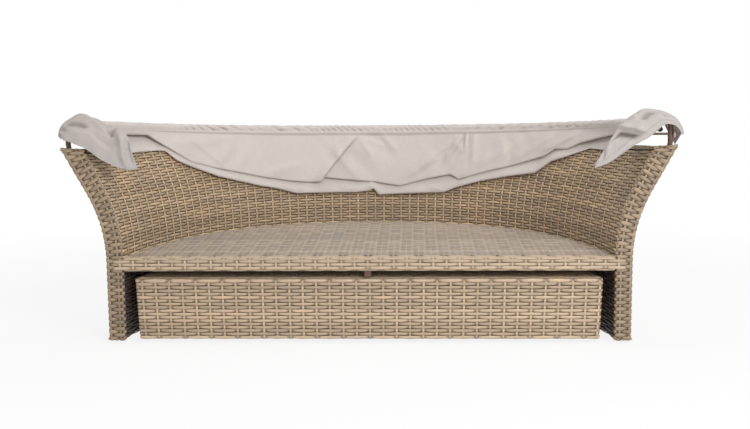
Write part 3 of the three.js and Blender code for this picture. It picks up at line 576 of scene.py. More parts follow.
def wicker(name, *colours):
    """Extruded resin strand: its colour wanders along each strand between honey, grey and rose, with
    fine darker streaks lengthwise, a soft gloss, and shallow grooves that give the bark grain. The
    stakes, with a tone over 2, are paler, a painted highlight. Strands are darker along their edges and
    where they have sunk in, which is painted shade. The skin behind the strands, marked by a tone
    below 0, is nearly black: painted shade for the dark inside."""
    honey, grey, rose, deep = (screen_colour(*c) for c in colours)
    strand = Finish(name)
    along, across, tone = strand.parts(strand.attribute("strand"))
    sunk = strand.attribute("sunk", "Fac")
    stake = strand.between(tone, 1.4, 1.6)
    wander = strand.patches(0.32, 0.68, 1.0, where=strand.vector(along * 7.0, tone * 41.0, 0.0))
    pink = strand.patches(0.5, 0.68, 1.0, where=strand.vector(along * 4.0, tone * 73.0, 5.0))
    patch = strand.patches(0.35, 0.65, 3.2, 3.0, 0.6)
    drawn = strand.vector(along * 26.0, across * 9.0 + tone * 90.0, tone * 17.0)
    streak = strand.noise(1.0, 3.0, 0.65, drawn)
    groove = strand.noise(1.0, 3.0, 0.7, strand.vector(along * 60.0, across * 26.0 + tone * 50.0, 3.0))
    base = strand.colour(wander, honey, grey)
    base = strand.colour(pink * 0.55, base, rose)
    base = strand.colour(patch * 0.45, base, grey)
    base = strand.colour(strand.between(streak, 0.45, 0.75) * 0.6, base, deep)
    # Painted shade: each strand is darker towards its edges, where the rows meet.
    edge = strand.between(across * across, 0.12, 0.25)
    base = strand.colour(edge * 0.6, base, [c * 0.75 for c in deep])
    # Painted highlight: the stakes are made paler.
    base = strand.colour(stake * 0.45, base, [min(c * 1.15, 1.0) for c in honey])
    # Painted shade: darker where the strand has sunk into the weave.
    base = strand.colour(strand.between(sunk, 0.35, 1.0) * 0.72, base, [c * 0.3 for c in deep])
    light = tone - stake * 2 + strand.noise(9.0) * 0.3
    light = strand.between(light, 0.0, 1.3, 0.76, 1.2)
    base = strand.colour(1.0, base, strand.vector(light, light, light), "MULTIPLY")
    # The skin behind the strands is made nearly black: painted shade.
    hidden = tone.maths("LESS_THAN", -0.5)
    return strand.set(
        Base_Color=strand.colour(hidden, base, (0.012, 0.008, 0.006)),
        Roughness=strand.between(streak, 0.3, 0.7, 0.42, 0.62) + hidden * 0.4,
        Normal=strand.bump(groove, 0.0006, 0.5),
    )


wall_wicker = wicker("wall_wicker", (214, 184, 145), (170, 152, 130), (193, 162, 141), (112, 89, 64))


def station(u):
    """Where a stake stands round the wall, from -1 to 1: a little closer together at the back."""
    t = 2 * u - 1
    return t * mix(back_closeness, 1.0, np.abs(t) ** closeness_power)


def wall_skin(inner, low, high=None):
    """The wall's face from a height up to another one or, where there is none, to the wrapped rim."""
    def place(u, v):
        s = station(u)
        top = rim_height(s) - rim_wrap_height if high is None else high
        return face(s, height_at(low, top, v), inner)
    return place


inner_rows, wall_stakes, wall_tuck = 34, 66, 0.006
back_closeness, closeness_power = 0.874, 2.86
inner_wall = wall_skin(True, seat_height - wall_tuck)
wicker_piece(
    "inner_wall_strands",
    weave(inner_wall, inner_rows, wall_stakes, 1, 11) + [backing(inner_wall, 81, 9, 1)],
    wall_wicker, "root", "wall_wicker", "inner_wall_weave",
)

# Outer wall
# The same weave on the outside, from the wrapped floor line to the wrapped rim, in two lifts that
# meet at a row. The maker starts at the bottom and lets the stakes fan out as the wall leans.
lift_rows, lift_height = 28, 0.33
lower_lift, upper_lift = wall_skin(False, base_wrap_top, lift_height), wall_skin(False, lift_height)
for name, seed, lift in [("lower", 21, lower_lift), ("upper", 22, upper_lift)]:
    wicker_piece(
        f"outer_wall_strands_{name}",
        weave(lift, lift_rows, wall_stakes, -1, seed) + [backing(lift, 73, 9, -1)],
        wall_wicker, "root", "wall_wicker", "outer_wall_weave",
    )

# Lining
# The inside of the arms and back below the seat is woven too, with the reverse of the strand
# showing, between the seat beam and the floor wrap. It is mostly in shade, and its dark colour is painted
# shade.
lining_wicker = wicker("lining_wicker", (84, 68, 58), (70, 58, 51), (78, 62, 54), (40, 32, 28))
lining_rows, lining_top = 20, 0.2485
lining = wall_skin(True, base_wrap_top, lining_top)
wicker_piece(
    "lining_strands",
    weave(lining, lining_rows, wall_stakes, 1, 31, samples=4) + [backing(lining, 61, 3, 1)],
    lining_wicker, "root", "lining_wicker", "lower_lining",
)

# Rim and floor edge
# The rows are carried over the rim and under the wall's foot, so that both edges are wrapped. The
# rim is about 80 mm broad at the arms and 50 mm at the back. The canopy posts come up through it.
rim_rows, base_rows = 7, 5
foot_height, short_end = 0.012, 0.006


def edge_wrap(level, drop, reach):
    """A wrapped edge, from the wall's inside to its outside: half a cosine across, and up by the root
    of a sine from the drop under its level. level(s) gives the height at which it meets the faces."""
    def place(u, v):
        s = station(u)
        z = level(s)
        turn = math.pi * np.clip(v, 0, 1)
        point = mix(face(s, z, True), face(s, z, False), (0.5 - 0.5 * np.cos(turn))[..., None])
        crown = np.sqrt(np.maximum(np.sin(turn), 0)) + np.minimum(v, 0) + np.minimum(1 - v, 0)
        point[..., 2] = z - drop + reach * crown
        return point
    return place


rim = edge_wrap(rim_height, rim_wrap_height, rim_wrap_height)
wall_foot = edge_wrap(lambda s: np.full(np.shape(s), base_wrap_top), 0.0, foot_height - base_wrap_top)
rim_end = 0.5 * wall_start / share_length
rim_ends = np.where(np.isin(np.arange(rim_rows), (0, rim_rows - 1)), short_end, -rim_end)
wicker_piece(
    "rim_strands",
    weave(rim, rim_rows, wall_stakes, 1, 41, ends=(rim_ends, 1 - rim_ends), shift=0.5, depth=0.006,
          thick=0.0026)
    + [backing(rim, 85, 7, 1, 0.006)],
    wall_wicker, "root", "wall_wicker", "rim_wrap",
)
wicker_piece(
    "floor_edge_strands",
    weave(wall_foot, base_rows, wall_stakes, -1, 42, ends=(-rim_end, 1 + rim_end), depth=0.0055,
          thick=0.0024)
    + [backing(wall_foot, 73, 5, -1, 0.0054, 0.0004)],
    wall_wicker, "root", "wall_wicker", "base_wrap",
)

# Arm fronts
# Short strands wrap each arm's front edge from the outside, round both corners and onto the inside,
# over two stakes, and lie square to the lean. Their two columns of bulges change places row by row.
arm_rows, arm_stakes, arm_shift = 61, 2.27, 0.46
arm_corner = 0.010
arm_path = np.concatenate([[(0, wall_start)], np.stack(quarter(arm_corner, 9)[::-1], axis=1)])
arm_middle = (arm_base_thickness + arm_top_thickness) / 2
arm_path = np.concatenate([arm_path, (arm_middle, 0) + (-1, 1) * arm_path[::-1]])
arm_run = lengths(arm_path)
arm_run /= arm_run[-1]
level_top, lean_step = 0.07, 0.001


def arm_front(side):
    """The wrapped front of one arm. Going across, the path is the outside, a round corner, the flat
    front, a round corner and the inside; each row is tilted square to the lean, less so at the top."""
    def place(u, v):
        z = height_at(foot_height, arm_height, v)
        lean = (flare(z + lean_step) - flare(z - lean_step)) / (2 * lean_step)
        tilt = lean / np.sqrt(1 + lean**2) * (1 - smooth((z - arm_height + level_top) / level_top))
        half = arm_thickness(z) / 2 * tilt
        across = np.interp(u, arm_run, arm_path[:, 0]) / arm_middle
        high = mix(z - half, z + half, across)
        x = outer_half_width + flare(high) - arm_thickness(high) * across
        return points_of(side * x, front + np.interp(u, arm_run, arm_path[:, 1]), high)
    return place


# The arm fronts' strand is the wall's strand coloured darker: painted shade.
shaded_arm_wicker = wicker("shaded_arm_wicker", (179, 155, 123), (146, 130, 112), (164, 139, 120), (102, 82, 60))
for side, name in [(-1, "left"), (1, "right")]:
    place = arm_front(side)
    wicker_piece(
        f"arm_front_strands_{name}",
        weave(place, arm_rows, arm_stakes, -side, 51 + side, samples=11, dip=1.5, shift=arm_shift,
              fill=1.02, swell=0.36, touch=0.0, depth=0.0095, thick=0.0042)
        + [backing(place, 13, 30, -side, 0.0093)],
        shaded_arm_wicker, "root", "wall_wicker", f"arm_front_{name}",
    )

# Seat deck
# The seat is one flat panel of the same strand in a greyer colour, woven from side to side and cut
# to the wall's inner plan, with its edge tucked under the wall. Its rows touch over the stakes and
# part between them in dark flecks.
seat_wicker = wicker("seat_wicker", (188, 169, 147), (168, 157, 146), (180, 159, 145), (112, 96, 84))
deck_front, rail_depth, deck_tuck = 0.0443, 0.044, 0.005
deck_half_width = outer_half_width + flare(seat_height) - arm_base_thickness + deck_tuck
deck_back = outer_depth + back_flare * flare(seat_height) - back_thickness + deck_tuck
deck_rows = 68
least_row, least_stake, least_width = 0.02, 0.01, 0.01
panel_skin = 0.0015


def woven_panel(half_width, near, far, top, rows, plan_size, seed, **looks):
    """A level woven panel and the skin under it, both cut to a plan; u runs across from left to
    right and v from the front to the back. Each row and stake ends where the plan does, and one
    stake lies in the middle."""
    plan_x, plan_y = plan(np.linspace(0, 1, 400), *plan_size)

    def width_at(y):
        return np.interp(-(y + front), -plan_y, plan_x)

    def over(u, v):
        return points_of(mix(-half_width, half_width, u), front + mix(near, far, v), top)

    def under(u, v):
        y = mix(near, far, v)
        return points_of(mix(-1, 1, u) * np.maximum(width_at(y), least_width), y + front, top)

    stakes = 2 * half_width / stake_spacing
    shift = stakes / 2 % 1
    row_y = mix(near, far, (np.arange(rows) + 0.5) / rows)
    reach = np.clip(width_at(row_y) / half_width, least_row, 1)
    stake_u = (np.arange(int(stakes - shift + 1e-6) + 1) + shift) / stakes
    stake_x = mix(-half_width, half_width, stake_u)
    stake_y = np.interp(np.abs(stake_x), plan_x, plan_y) - front
    tops = np.clip((stake_y - near) / (far - near), least_stake, 1)
    ends = (0.5 - reach / 2, 0.5 + reach / 2)
    strips = weave(over, rows, stakes, 1, seed, ends=ends, tops=tops, shift=shift, **looks)
    return strips + [backing(under, 25, 33, 1, weave_depth, panel_skin)]


wicker_piece(
    "seat_deck_strands",
    woven_panel(deck_half_width, deck_front, deck_back, seat_height, deck_rows,
                (deck_half_width, deck_back), 61, samples=5, fill=0.80, touch=0.16, depth=0.0082),
    seat_wicker, "root", "seat_wicker", "seat_deck",
)

# Front rail
# A square tube wrapped lengthwise in strands, with three rows on its face and more above and below.
# Their ends are tucked into the arm fronts, a little in front of them.
rail_wicker = wicker("rail_wicker", (200, 177, 148), (182, 163, 140), (190, 164, 145), (140, 117, 94))
rail_bottom, rail_half_length, rail_tuck, tuck_forward = 0.249, 0.828, 0.034, 0.0026
rail_corner, tuck_run, face_reach, short_tuck = 0.010, 0.008, 0.004, 0.4
rail_in, rail_out = quarter(rail_corner, 8)
rail_path = np.concatenate([
    [(rail_depth, seat_height)],
    np.stack([rail_in, seat_height - rail_out], axis=1),
    np.stack([rail_out, rail_bottom + rail_in], axis=1),
    [(rail_depth, rail_bottom)],
])
rail_run = lengths(rail_path)
rail_run /= rail_run[-1]
rail_rows, rail_stakes = 11, 39


def rail(u, v):
    """Round the rail from its top edge over the face to its lower edge, a little further out where
    it is tucked into the arm fronts."""
    x = mix(-1, 1, u) * (rail_half_length + rail_tuck)
    tucked = smooth((np.abs(x) - rail_half_length + tuck_run) / tuck_run)
    y = front + np.interp(v, rail_run, rail_path[:, 0]) - tuck_forward * tucked
    return points_of(x, y, np.interp(v, rail_run, rail_path[:, 1]))


row_v = (np.arange(rail_rows) + 0.5) / rail_rows
on_face = np.interp(row_v, rail_run, rail_path[:, 0]) < face_reach
tuck_share = rail_tuck / (rail_half_length + rail_tuck) / 2
every_other = np.where(np.arange(rail_rows) % 2 == 0, 0.0, short_tuck)
tuck = np.where(on_face, every_other, 1.0) * tuck_share
wicker_piece(
    "front_rail_strands",
    weave(rail, rail_rows, rail_stakes, -1, 71, ends=(tuck, 1 - tuck), shift=0.5, fill=0.96,
          swell=0.05, touch=0.03, depth=0.0052)
    + [backing(lambda u, v: rail(mix(tuck_share, 1 - tuck_share, u), v), 3, 19, -1, weave_depth)],
    rail_wicker, "root", "wall_wicker", "front_rail_wrap",
)

# Footstool
# A low box woven on its own tube frame: a band round the front, sides and curved back with rounded
# corners, drawn in over the top edge, and a flat top. It slides out on its own feet.
stool_wicker = wicker("stool_wicker", (206, 180, 148), (184, 164, 140), (194, 166, 146), (132, 109, 86))
stool_half_width, stool_depth, stool_height, stool_bottom = 0.782, 0.700, 0.223, 0.016
stool_corner, stool_edge, stool_spread = 0.010, 0.006, 0.009
band_rows, band_stakes, stool_top_rows = 18, 86, 60
end_reach, front_reach = 0.7, 0.02
side_x, side_y = plan(np.linspace(1, -1, 241), stool_half_width, stool_depth)
beside, before = quarter(stool_corner, 7)
right_corner = np.stack([stool_half_width - beside, front + before], axis=1)
left_corner = (right_corner * (-1, 1))[::-1]
band_path = np.concatenate([
    right_corner, np.stack([side_x, side_y], axis=1), left_corner, right_corner[:1],
])
band_run = lengths(band_path)
keep = np.concatenate([[True], np.diff(band_run) > 1e-6])
band_path, band_run = band_path[keep], band_run[keep] / band_run[-1]


def stool_band(u, v):
    """Round the footstool and up: the sides lean out to the top, where the band draws in along a
    quarter round."""
    turned = np.mod(u, 1)
    x = np.interp(turned, band_run, band_path[:, 0])
    y = np.interp(turned, band_run, band_path[:, 1])
    z = mix(stool_bottom, stool_height, v)
    over = np.clip(z - (stool_height - stool_edge), 0, stool_edge)
    inset = stool_edge - np.sqrt(np.maximum(stool_edge**2 - over**2, 0))
    x = x * (1 + stool_spread / stool_half_width * (z - stool_bottom) / (stool_height - stool_bottom))
    x = x - np.sign(x) * inset * np.minimum(np.abs(x) / end_reach, 1)
    return points_of(x, y + inset * np.where(y < front + front_reach, 1, -1), z)


wicker_piece(
    "stool_band_strands",
    weave(stool_band, band_rows, band_stakes, 1, 81, closed=True, fill=0.94, touch=0.06)
    + [backing(stool_band, 261, 5, 1, weave_depth)],
    stool_wicker, "footstool_body", "stool_wicker", "stool_front_weave", "stool_side_weave",
)
top_gap, top_front = 0.004, 0.006
top_width, top_depth = stool_half_width + stool_spread - top_gap, stool_depth - top_gap
wicker_piece(
    "stool_top_strands",
    woven_panel(top_width, top_front, top_depth, stool_height, stool_top_rows, (top_width, top_depth), 82,
                samples=5),
    stool_wicker, "footstool_body", "stool_wicker", "stool_top_weave",
)

# Pivot washers
# Moulded washers, once cream and now greyish, under the heads of the bolts that the bows turn on.
# They have a soft gloss and a little grime round the eye.
washer_colour = screen_colour(196, 190, 180)
grime_colour = screen_colour(110, 98, 86)
washer = Finish("pale_washer")
washer_grime = washer.patches(0.45, 0.7, 420.0, 4.0)
washer.set(
    Base_Color=washer.colour(washer_grime * 0.5, washer_colour, grime_colour),
    Roughness=washer_grime * 0.3 + 0.35,
    Normal=washer.bump(washer.noise(1500.0), 0.0001, 0.3),
)
dress(["pivot_washer_left", "pivot_washer_right"], washer.made)

# Canopy fabric
# Plain woven polyester in greige, 1.6 mm thick with its coating. Each bow lies in a sleeve sewn round
# it. One panel is sewn between the wall and the middle bow, and one between the middle and the front
# bow. Folded back, both hang inside the wall as deep loops with slanting folds.
thread_pitch, cloth_thick = 0.0009, 0.0016


def canvas(name, *colours):
    """Plain woven cloth: fine threads both ways with thicker slubs among them, a colour that drifts
    between warm and cool, and a deeper one where the mark is high: in seams and stitches, and as
    painted shade in the hollows of wrinkles and creases."""
    warm, cool, deep = (screen_colour(*c) for c in colours)
    cloth = Finish(name)
    over, down, mark = cloth.parts(cloth.attribute("cloth"))
    warp, weft = ((way * (2 * math.pi / thread_pitch)).maths("SINE") for way in (over, down))
    slub = cloth.noise(1.0, where=cloth.vector(over * 30.0, down * 900.0, 0.0))
    slub_across = cloth.noise(1.0, where=cloth.vector(over * 900.0, down * 30.0, 4.0))
    colour = cloth.colour(cloth.patches(0.3, 0.7, 2.6, 3.0, 0.55), warm, cool)
    colour = cloth.colour(cloth.between(slub + slub_across, 0.75, 1.35) * 0.28, colour, deep)
    return cloth.set(
        # The deeper colour: seams and stitches, and painted shade in the hollows.
        Base_Color=cloth.colour(cloth.between(mark, 0.1, 1.0) * 0.75, colour, deep),
        Roughness=cloth.between(slub, 0.3, 0.7, 0.82, 0.95),
        Normal=cloth.bump((warp + weft) * 0.2 + slub * 0.8 + slub_across * 0.8, 0.00025, 0.6),
        Sheen_Weight=0.25,
        Sheen_Roughness=0.5,
    )


canopy_cloth = canvas("canopy_cloth", (213, 204, 196), (201, 194, 190), (158, 146, 136))


def sheet_mesh(points, thick, mark=0.0):
    """A closed sheet round a grid of points: the grid moved half the thickness out along its normals
    and the same the other way, joined round the edge. Gives points, faces and, for each point, the
    distance over and down the sheet in metres and its mark."""
    normal = unit(np.cross(np.gradient(points, axis=0), np.gradient(points, axis=1)))
    over = np.broadcast_to(lengths(points).mean(axis=1, keepdims=True), points.shape[:2])
    note = np.stack([over, lengths(points, 1), np.broadcast_to(mark, over.shape)], axis=-1).reshape(-1, 3)
    points, faces = closed_skin(points + normal * thick / 2, points - normal * thick / 2)
    return points, faces, np.concatenate([note, note])


def fabric(name, parts, material, *replaced):
    """Joins sheets into one piece of fabric and notes where each point lies on it."""
    thing, notes = joined(name, parts, material)
    keep_note(thing, "cloth", notes)
    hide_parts(*replaced)
    return thing


# The bows under the fabric: half widths, depths and heights as the bent tubes have them.
pivot_depth, pivot_height = 0.031, 0.705
bow_rise, bow_back_rise, bow_crank = 0.044, 0.019, 0.070
bow_spacing, bow_inset = 0.034, 0.0204
middle_bow = np.array([0.9781, outer_depth + back_flare * flare(back_height) - bow_inset])
front_bow = middle_bow - bow_spacing
sleeve_radius, sleeve_sag, sleeve_end, seam_radius = 0.015, 0.002, 0.93, 0.017
sleeve_start = math.radians(-38)
sleeve_turn = math.radians(322)


def bow_point(s, bow):
    """A point on a bow: the wall's plan in its own width and depth, and a height that rises in a
    short crank from the pivot and then falls evenly to the back."""
    x, y = plan(s, *bow, pivot_depth)
    run = y - front - pivot_depth
    line = mix(pivot_height + bow_rise, back_height + bow_back_rise, run / (middle_bow[1] - pivot_depth))
    return points_of(x, y, mix(pivot_height, line, smooth(run / bow_crank)))


def sleeve_point(s, bow, turn, radius):
    """A point round a sleeve: the turn is measured from straight inwards, over the top."""
    inward = radius * np.cos(turn)
    moved = bow_point(s, (bow[0] - inward, bow[1] - inward))
    moved[..., 2] = bow_point(s, bow)[..., 2] + radius * np.sin(turn) - sleeve_sag
    return moved


# Front panel
# It goes round the front bow as a sleeve, hangs down inside the wall, folds under and goes up again
# to the middle bow. One deep fold runs aslant across its middle, where it was pulled back.
front_stand_off = 0.024
front_columns = 700
sleeve_rows, hang_rows, fold_rows, back_rows, tie_rows = 16, 34, 6, 8, 3
front_edge = np.array([
    (-0.719, 0.697), (-0.672, 0.653), (-0.582, 0.574), (-0.498, 0.542), (-0.447, 0.526), (-0.347, 0.494),
    (-0.265, 0.474), (-0.207, 0.465), (-0.173, 0.467), (-0.155, 0.482), (-0.096, 0.472), (-0.001, 0.461),
    (0.077, 0.445), (0.164, 0.476), (0.232, 0.494), (0.261, 0.477), (0.356, 0.515), (0.426, 0.539),
    (0.533, 0.584), (0.569, 0.615), (0.614, 0.618), (0.657, 0.644), (0.734, 0.671), (0.796, 0.688),
])
front_creases = [
    (-0.050, 0.640, -0.174, 0.462, 0.018, 0.034, 0.0035),
    (-0.048, 0.636, -0.012, 0.560, 0.0045, 0.014, 0.012),
    (-0.036, 0.628, 0.030, 0.590, 0.003, 0.012, 0.010),
    (0.015, 0.645, 0.060, 0.580, 0.004, 0.018, 0.012),
    (0.225, 0.610, 0.140, 0.520, 0.006, 0.022, 0.010),
    (0.200, 0.560, 0.110, 0.485, 0.005, 0.022, 0.010),
    (0.254, 0.650, 0.216, 0.550, 0.007, 0.016, 0.007),
    (0.262, 0.668, 0.270, 0.590, 0.006, 0.007, 0.007),
    (0.285, 0.660, 0.300, 0.540, 0.004, 0.014, 0.016),
    (0.255, 0.470, 0.340, 0.570, 0.006, 0.010, 0.026),
    (-0.350, 0.500, -0.230, 0.530, 0.004, 0.014, 0.020),
    (-0.500, 0.545, -0.425, 0.620, 0.005, 0.026, 0.020),
    (-0.430, 0.530, -0.370, 0.600, 0.004, 0.024, 0.020),
    (-0.640, 0.640, -0.420, 0.640, 0.004, 0.020, 0.016),
    (0.420, 0.540, 0.540, 0.650, 0.006, 0.024, 0.012),
    (0.520, 0.590, 0.640, 0.670, 0.006, 0.020, 0.008),
    (0.330, 0.530, 0.470, 0.650, 0.005, 0.022, 0.018),
]
panel_seam_share, panel_seam_width, panel_seam_depth = 0.222, 0.0016, 0.0015
crease_growth, slant_count, slant_depth, slant_end, slant_fade = 1.3, 30, 0.005, 0.68, 0.1
cloth_room, bow_clearance, softening = 0.013, 0.012, 0.005
fold_gap = front_stand_off - cloth_room
seam_run, least_drop, back_stand_off, back_hurry = 1 / 12, 0.002, 0.009, 3
front_tie = math.radians(-50)
hem_mark, hem_row, mark_curve, mark_start, mark_limit = 0.8, 3, 260, 0.1, 0.45


def wrinkles(s, turn):
    """How far a sleeve's cloth puckers: sharp ridges that wind round it, in groups that each have
    their own middle, spread, number round the wall, twist and height. A ridge is one less the root
    of the sine's size."""
    height = 0.0007 * np.sin(s * 61 - 3 * turn) + 0.0005 * np.sin(s * 190 + 2 * turn)
    for middle, spread, number, twist, size in [
        (-0.46, 0.12, 30, 0.42, 0.00810), (-0.24, 0.08, 26, 0.35, 0.006075),
        (-0.09, 0.08, 52, 0.62, 0.007425), (0.12, 0.10, 56, 0.70, 0.006075),
        (0.34, 0.10, 30, -0.5, 0.00432), (0.58, 0.14, 17, -0.9, 0.00486),
    ]:
        phase = math.pi * (s * number + twist * turn + 0.35 * np.sin(s * 23 + middle * 40))
        ridge = 1 - np.sqrt(np.abs(np.sin(phase)))
        height = height - size * ridge * np.exp(-((s - middle) / spread) ** 2) * np.cos(turn / 2)
    return height


def pleat_shade(height, depth=0.0040, start=0.20):
    """How deep a point lies in a wrinkle, as a share from 0 to 1 of a full depth, by which the cloth is
    darkened as painted shade.
    """
    return np.clip(-height / depth - start, 0, 1)


def creases(x, y, lines, scale=share_length, early=0.1, late=1.2):
    """How far cloth stands out at two measures of place, such as a share round the wall and a
    height, from a table of creases: where each starts and ends in both, how far out it stands, and
    its width to the left and to the right. Each is a ridge that falls off like a bell, at once on a
    narrow side, and fades at both ends. The scale turns the first measure into the second's unit."""
    height = 0.0
    for x0, y0, x1, y1, out, left, right in lines:
        across, rise = (x1 - x0) * scale, y1 - y0
        length = math.hypot(across, rise)
        over, up = (x - x0) * scale, y - y0
        run = (over * across + up * rise) / length**2
        away = (over * rise - up * across) / length * (1 if rise > 0 else -1)
        bell = np.exp(-(away / np.where(away < 0, left, right)) ** 2)
        height = height + out * bell * smooth((run + early) / 0.4) * smooth((late - run) / 0.4)
    return height


def shares(rows):
    """Even shares from just past 0 to 1."""
    return np.linspace(0, 1, rows + 1)[1:]


def round_wall(end, columns):
    """Even places round the wall between both ends, as a column."""
    return mix(-end, end, np.linspace(0, 1, columns))[:, None]


def folded_under(s, low, off, across, rows):
    """The half circle in which cloth turns round a lower edge, going across by a signed distance."""
    turn = math.pi * shares(rows)
    return face(s, low - np.abs(across) / 2 * np.sin(turn), True, off + across / 2 * (1 - np.cos(turn)))


def tied(s, rise, turn):
    """Straight from the last column of a panel to the middle bow's sleeve, at a turn round it."""
    tie = sleeve_point(s, middle_bow, turn, seam_radius)
    return mix(rise[:, -1:], tie, shares(tie_rows)[:, None])


def slanting_folds(s, down, seed, count, deepest):
    """Soft ridges: each starts at its own place under the sleeve, runs down aslant, and swells and
    fades like a bell across and a half sine down."""
    random = np.random.default_rng(seed)
    height = 0.0
    for _ in range(count):
        top, slant = random.uniform(-0.62, 0.6), random.uniform(0.02, 0.14)
        width, size = random.uniform(0.010, 0.030), random.uniform(-1.0, 1.0)
        first, last = random.uniform(-0.3, 0.3), random.uniform(0.5, 1.3)
        run = np.clip((down - first) / (last - first), 0, 1)
        height = height + size * np.exp(-((s - top - slant * down) / width) ** 2) * np.sin(math.pi * run)
    return height * deepest


def front_panel(columns):
    """The panel from its sleeve's seam round the bow, down the wall at a stand-off with its creases,
    round the lower edge and up again to the tie, never further out than the seam; and its marks: a
    dark line just under the sleeve, and painted shade in the sleeve's wrinkles and the creases' hollows."""
    s = round_wall(sleeve_end, columns)
    turn = sleeve_start + sleeve_turn * np.linspace(1, 0, sleeve_rows + 1)[:-1]
    pucker = wrinkles(s, turn)
    ring = sleeve_point(s, front_bow, turn, sleeve_radius + pucker)
    seam = sleeve_point(s, front_bow, sleeve_start, seam_radius)
    low = np.minimum(np.interp(s, *front_edge.T), seam[..., 2] - bow_clearance)
    down = np.linspace(0, 1, hang_rows + 1)
    z = mix(seam[..., 2], low, down)
    slanting = slanting_folds(s, down, 5, slant_count, slant_depth)
    slanting = slanting * smooth((slant_end - np.abs(s)) / slant_fade)
    shape = creases(s, z, front_creases) * crease_growth + slanting
    groove = panel_seam_depth * np.exp(-((s - panel_seam_share) / panel_seam_width) ** 2)
    off = front_stand_off + (shape - groove) * smooth(down / seam_run)
    sheet = face(s, z, True, off)
    seam_reach, reach = (np.linalg.norm(p[..., :2] - (0, front), axis=-1) for p in (seam, sheet))
    inside = seam_reach / reach
    inside = 1 + (inside - 1 - np.sqrt((inside - 1) ** 2 + softening**2)) / 2
    sheet[..., :2] = (0, front) + (sheet[..., :2] - (0, front)) * inside[..., None]
    edge_off = off[:, -1:]
    fold = folded_under(s, low, edge_off, -fold_gap, fold_rows)
    up = shares(back_rows)
    back_top = np.maximum(rim_height(s) - bow_clearance, low + least_drop)
    back_off = mix(edge_off - fold_gap, back_stand_off, smooth(up * back_hurry))
    rise = face(s, mix(low, back_top, up), True, back_off)
    grid = np.concatenate([ring, sheet, fold, rise, tied(s, rise, front_tie)], axis=1)
    marks = np.zeros(grid.shape[:2])
    # Painted shade in the sleeve's wrinkles and, lower down, in the hollows between creases.
    marks[:, :sleeve_rows] = pleat_shade(pucker)
    hem = sleeve_rows + hem_row
    marks[:, hem - 2:hem] = hem_mark
    curve = np.gradient(np.gradient(shape, axis=0), axis=0) / (s[1, 0] - s[0, 0]) ** 2
    crease_shade = np.clip(curve[:, hem_row:] / mark_curve - mark_start, 0, mark_limit)
    marks[:, hem:sleeve_rows + hang_rows + 1] = crease_shade
    return grid, marks, np.array([sleeve_rows, hang_rows + 1, fold_rows, back_rows, tie_rows])


front_grid, front_marks, front_counts = front_panel(front_columns)
front_sheet = fabric(
    "front_canopy_panel", [sheet_mesh(front_grid, cloth_thick, front_marks)], canopy_cloth, "front_panel"
)


def bend_between(piece, behind, before, start, end, turning):
    """Bakes the piece's transform into its points; it does not turn them. The bodies behind and before,
    the start, the end and the shares of turning are not used."""
    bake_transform(piece)
    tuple(start)
    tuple(end)


def row_shares(counts, values, columns):
    """For each point of a panel, both faces: the share at its row, straight between the values at
    the ends of each group of rows."""
    rows = np.concatenate([
        np.linspace(a, b, n, endpoint=False) for n, a, b in zip(counts, values[:-1], values[1:])
    ])
    return np.tile(rows, 2 * columns)


bend_before, bend_height = 0.1, 0.6
bend_start = (0, front + middle_bow[1], bend_height)
bend_end = (0, front + front_bow[1] - bend_before, bend_height)
bend_between(
    front_sheet, "middle_bow_body", "front_bow_body", bend_start, bend_end,
    row_shares(front_counts, (1, 1, 0.55, 0.45, 0.03, 0), front_columns),
)

# Middle sleeve and rear panel
# The middle bow's sleeve lies behind the front one, on the rim. The rear panel is laced to the wall
# under the rim, hangs lower than the front one and goes up again to this sleeve.
rear_end = 0.82
rear_edge = np.array([
    (-0.80, 0.650), (-0.700, 0.626), (-0.658, 0.618), (-0.630, 0.585), (-0.580, 0.556), (-0.500, 0.513),
    (-0.360, 0.462), (-0.306, 0.448), (-0.245, 0.4245), (-0.060, 0.4215), (-0.022, 0.4275), (-0.005, 0.436),
    (0.012, 0.411), (0.140, 0.420), (0.215, 0.4245), (0.252, 0.445), (0.325, 0.473), (0.429, 0.502),
    (0.514, 0.521), (0.564, 0.568), (0.640, 0.600), (0.700, 0.625), (0.80, 0.650),
])
rear_creases = [
    (-0.020, 0.405, -0.008, 0.480, 0.006, 0.010, 0.003), (0.004, 0.405, 0.012, 0.480, 0.004, 0.004, 0.012),
    (-0.245, 0.420, -0.200, 0.460, 0.004, 0.012, 0.004), (-0.245, 0.422, -0.300, 0.462, 0.003, 0.004, 0.012),
    (-0.120, 0.450, -0.040, 0.425, 0.003, 0.010, 0.010), (0.215, 0.424, 0.160, 0.450, 0.004, 0.012, 0.005),
    (0.252, 0.440, 0.300, 0.500, 0.004, 0.006, 0.014), (-0.580, 0.555, -0.560, 0.600, 0.004, 0.008, 0.005),
]
s = round_wall(sleeve_end, 361)
turn = sleeve_start + sleeve_turn * np.linspace(0, 1, sleeve_rows + 1)
middle_grid = sleeve_point(s, middle_bow, turn, sleeve_radius + wrinkles(s + 0.05, turn))
middle_piece = fabric(
    "middle_bow_cover", [sheet_mesh(middle_grid, cloth_thick)], canopy_cloth, "middle_bow_sleeve"
)
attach(middle_piece, "middle_bow_body")
lace_drop, lace_off, lace_run, rear_stand_off, rear_waver = 0.0155, 0.0018, 0.2, 0.004, 0.002
least_hang, rear_slant_depth, bow_stand_off = 0.004, 0.002, 0.0055
band_width, band_fade = 0.014, 0.06
rear_tie = math.radians(-65)
rear_columns = 520


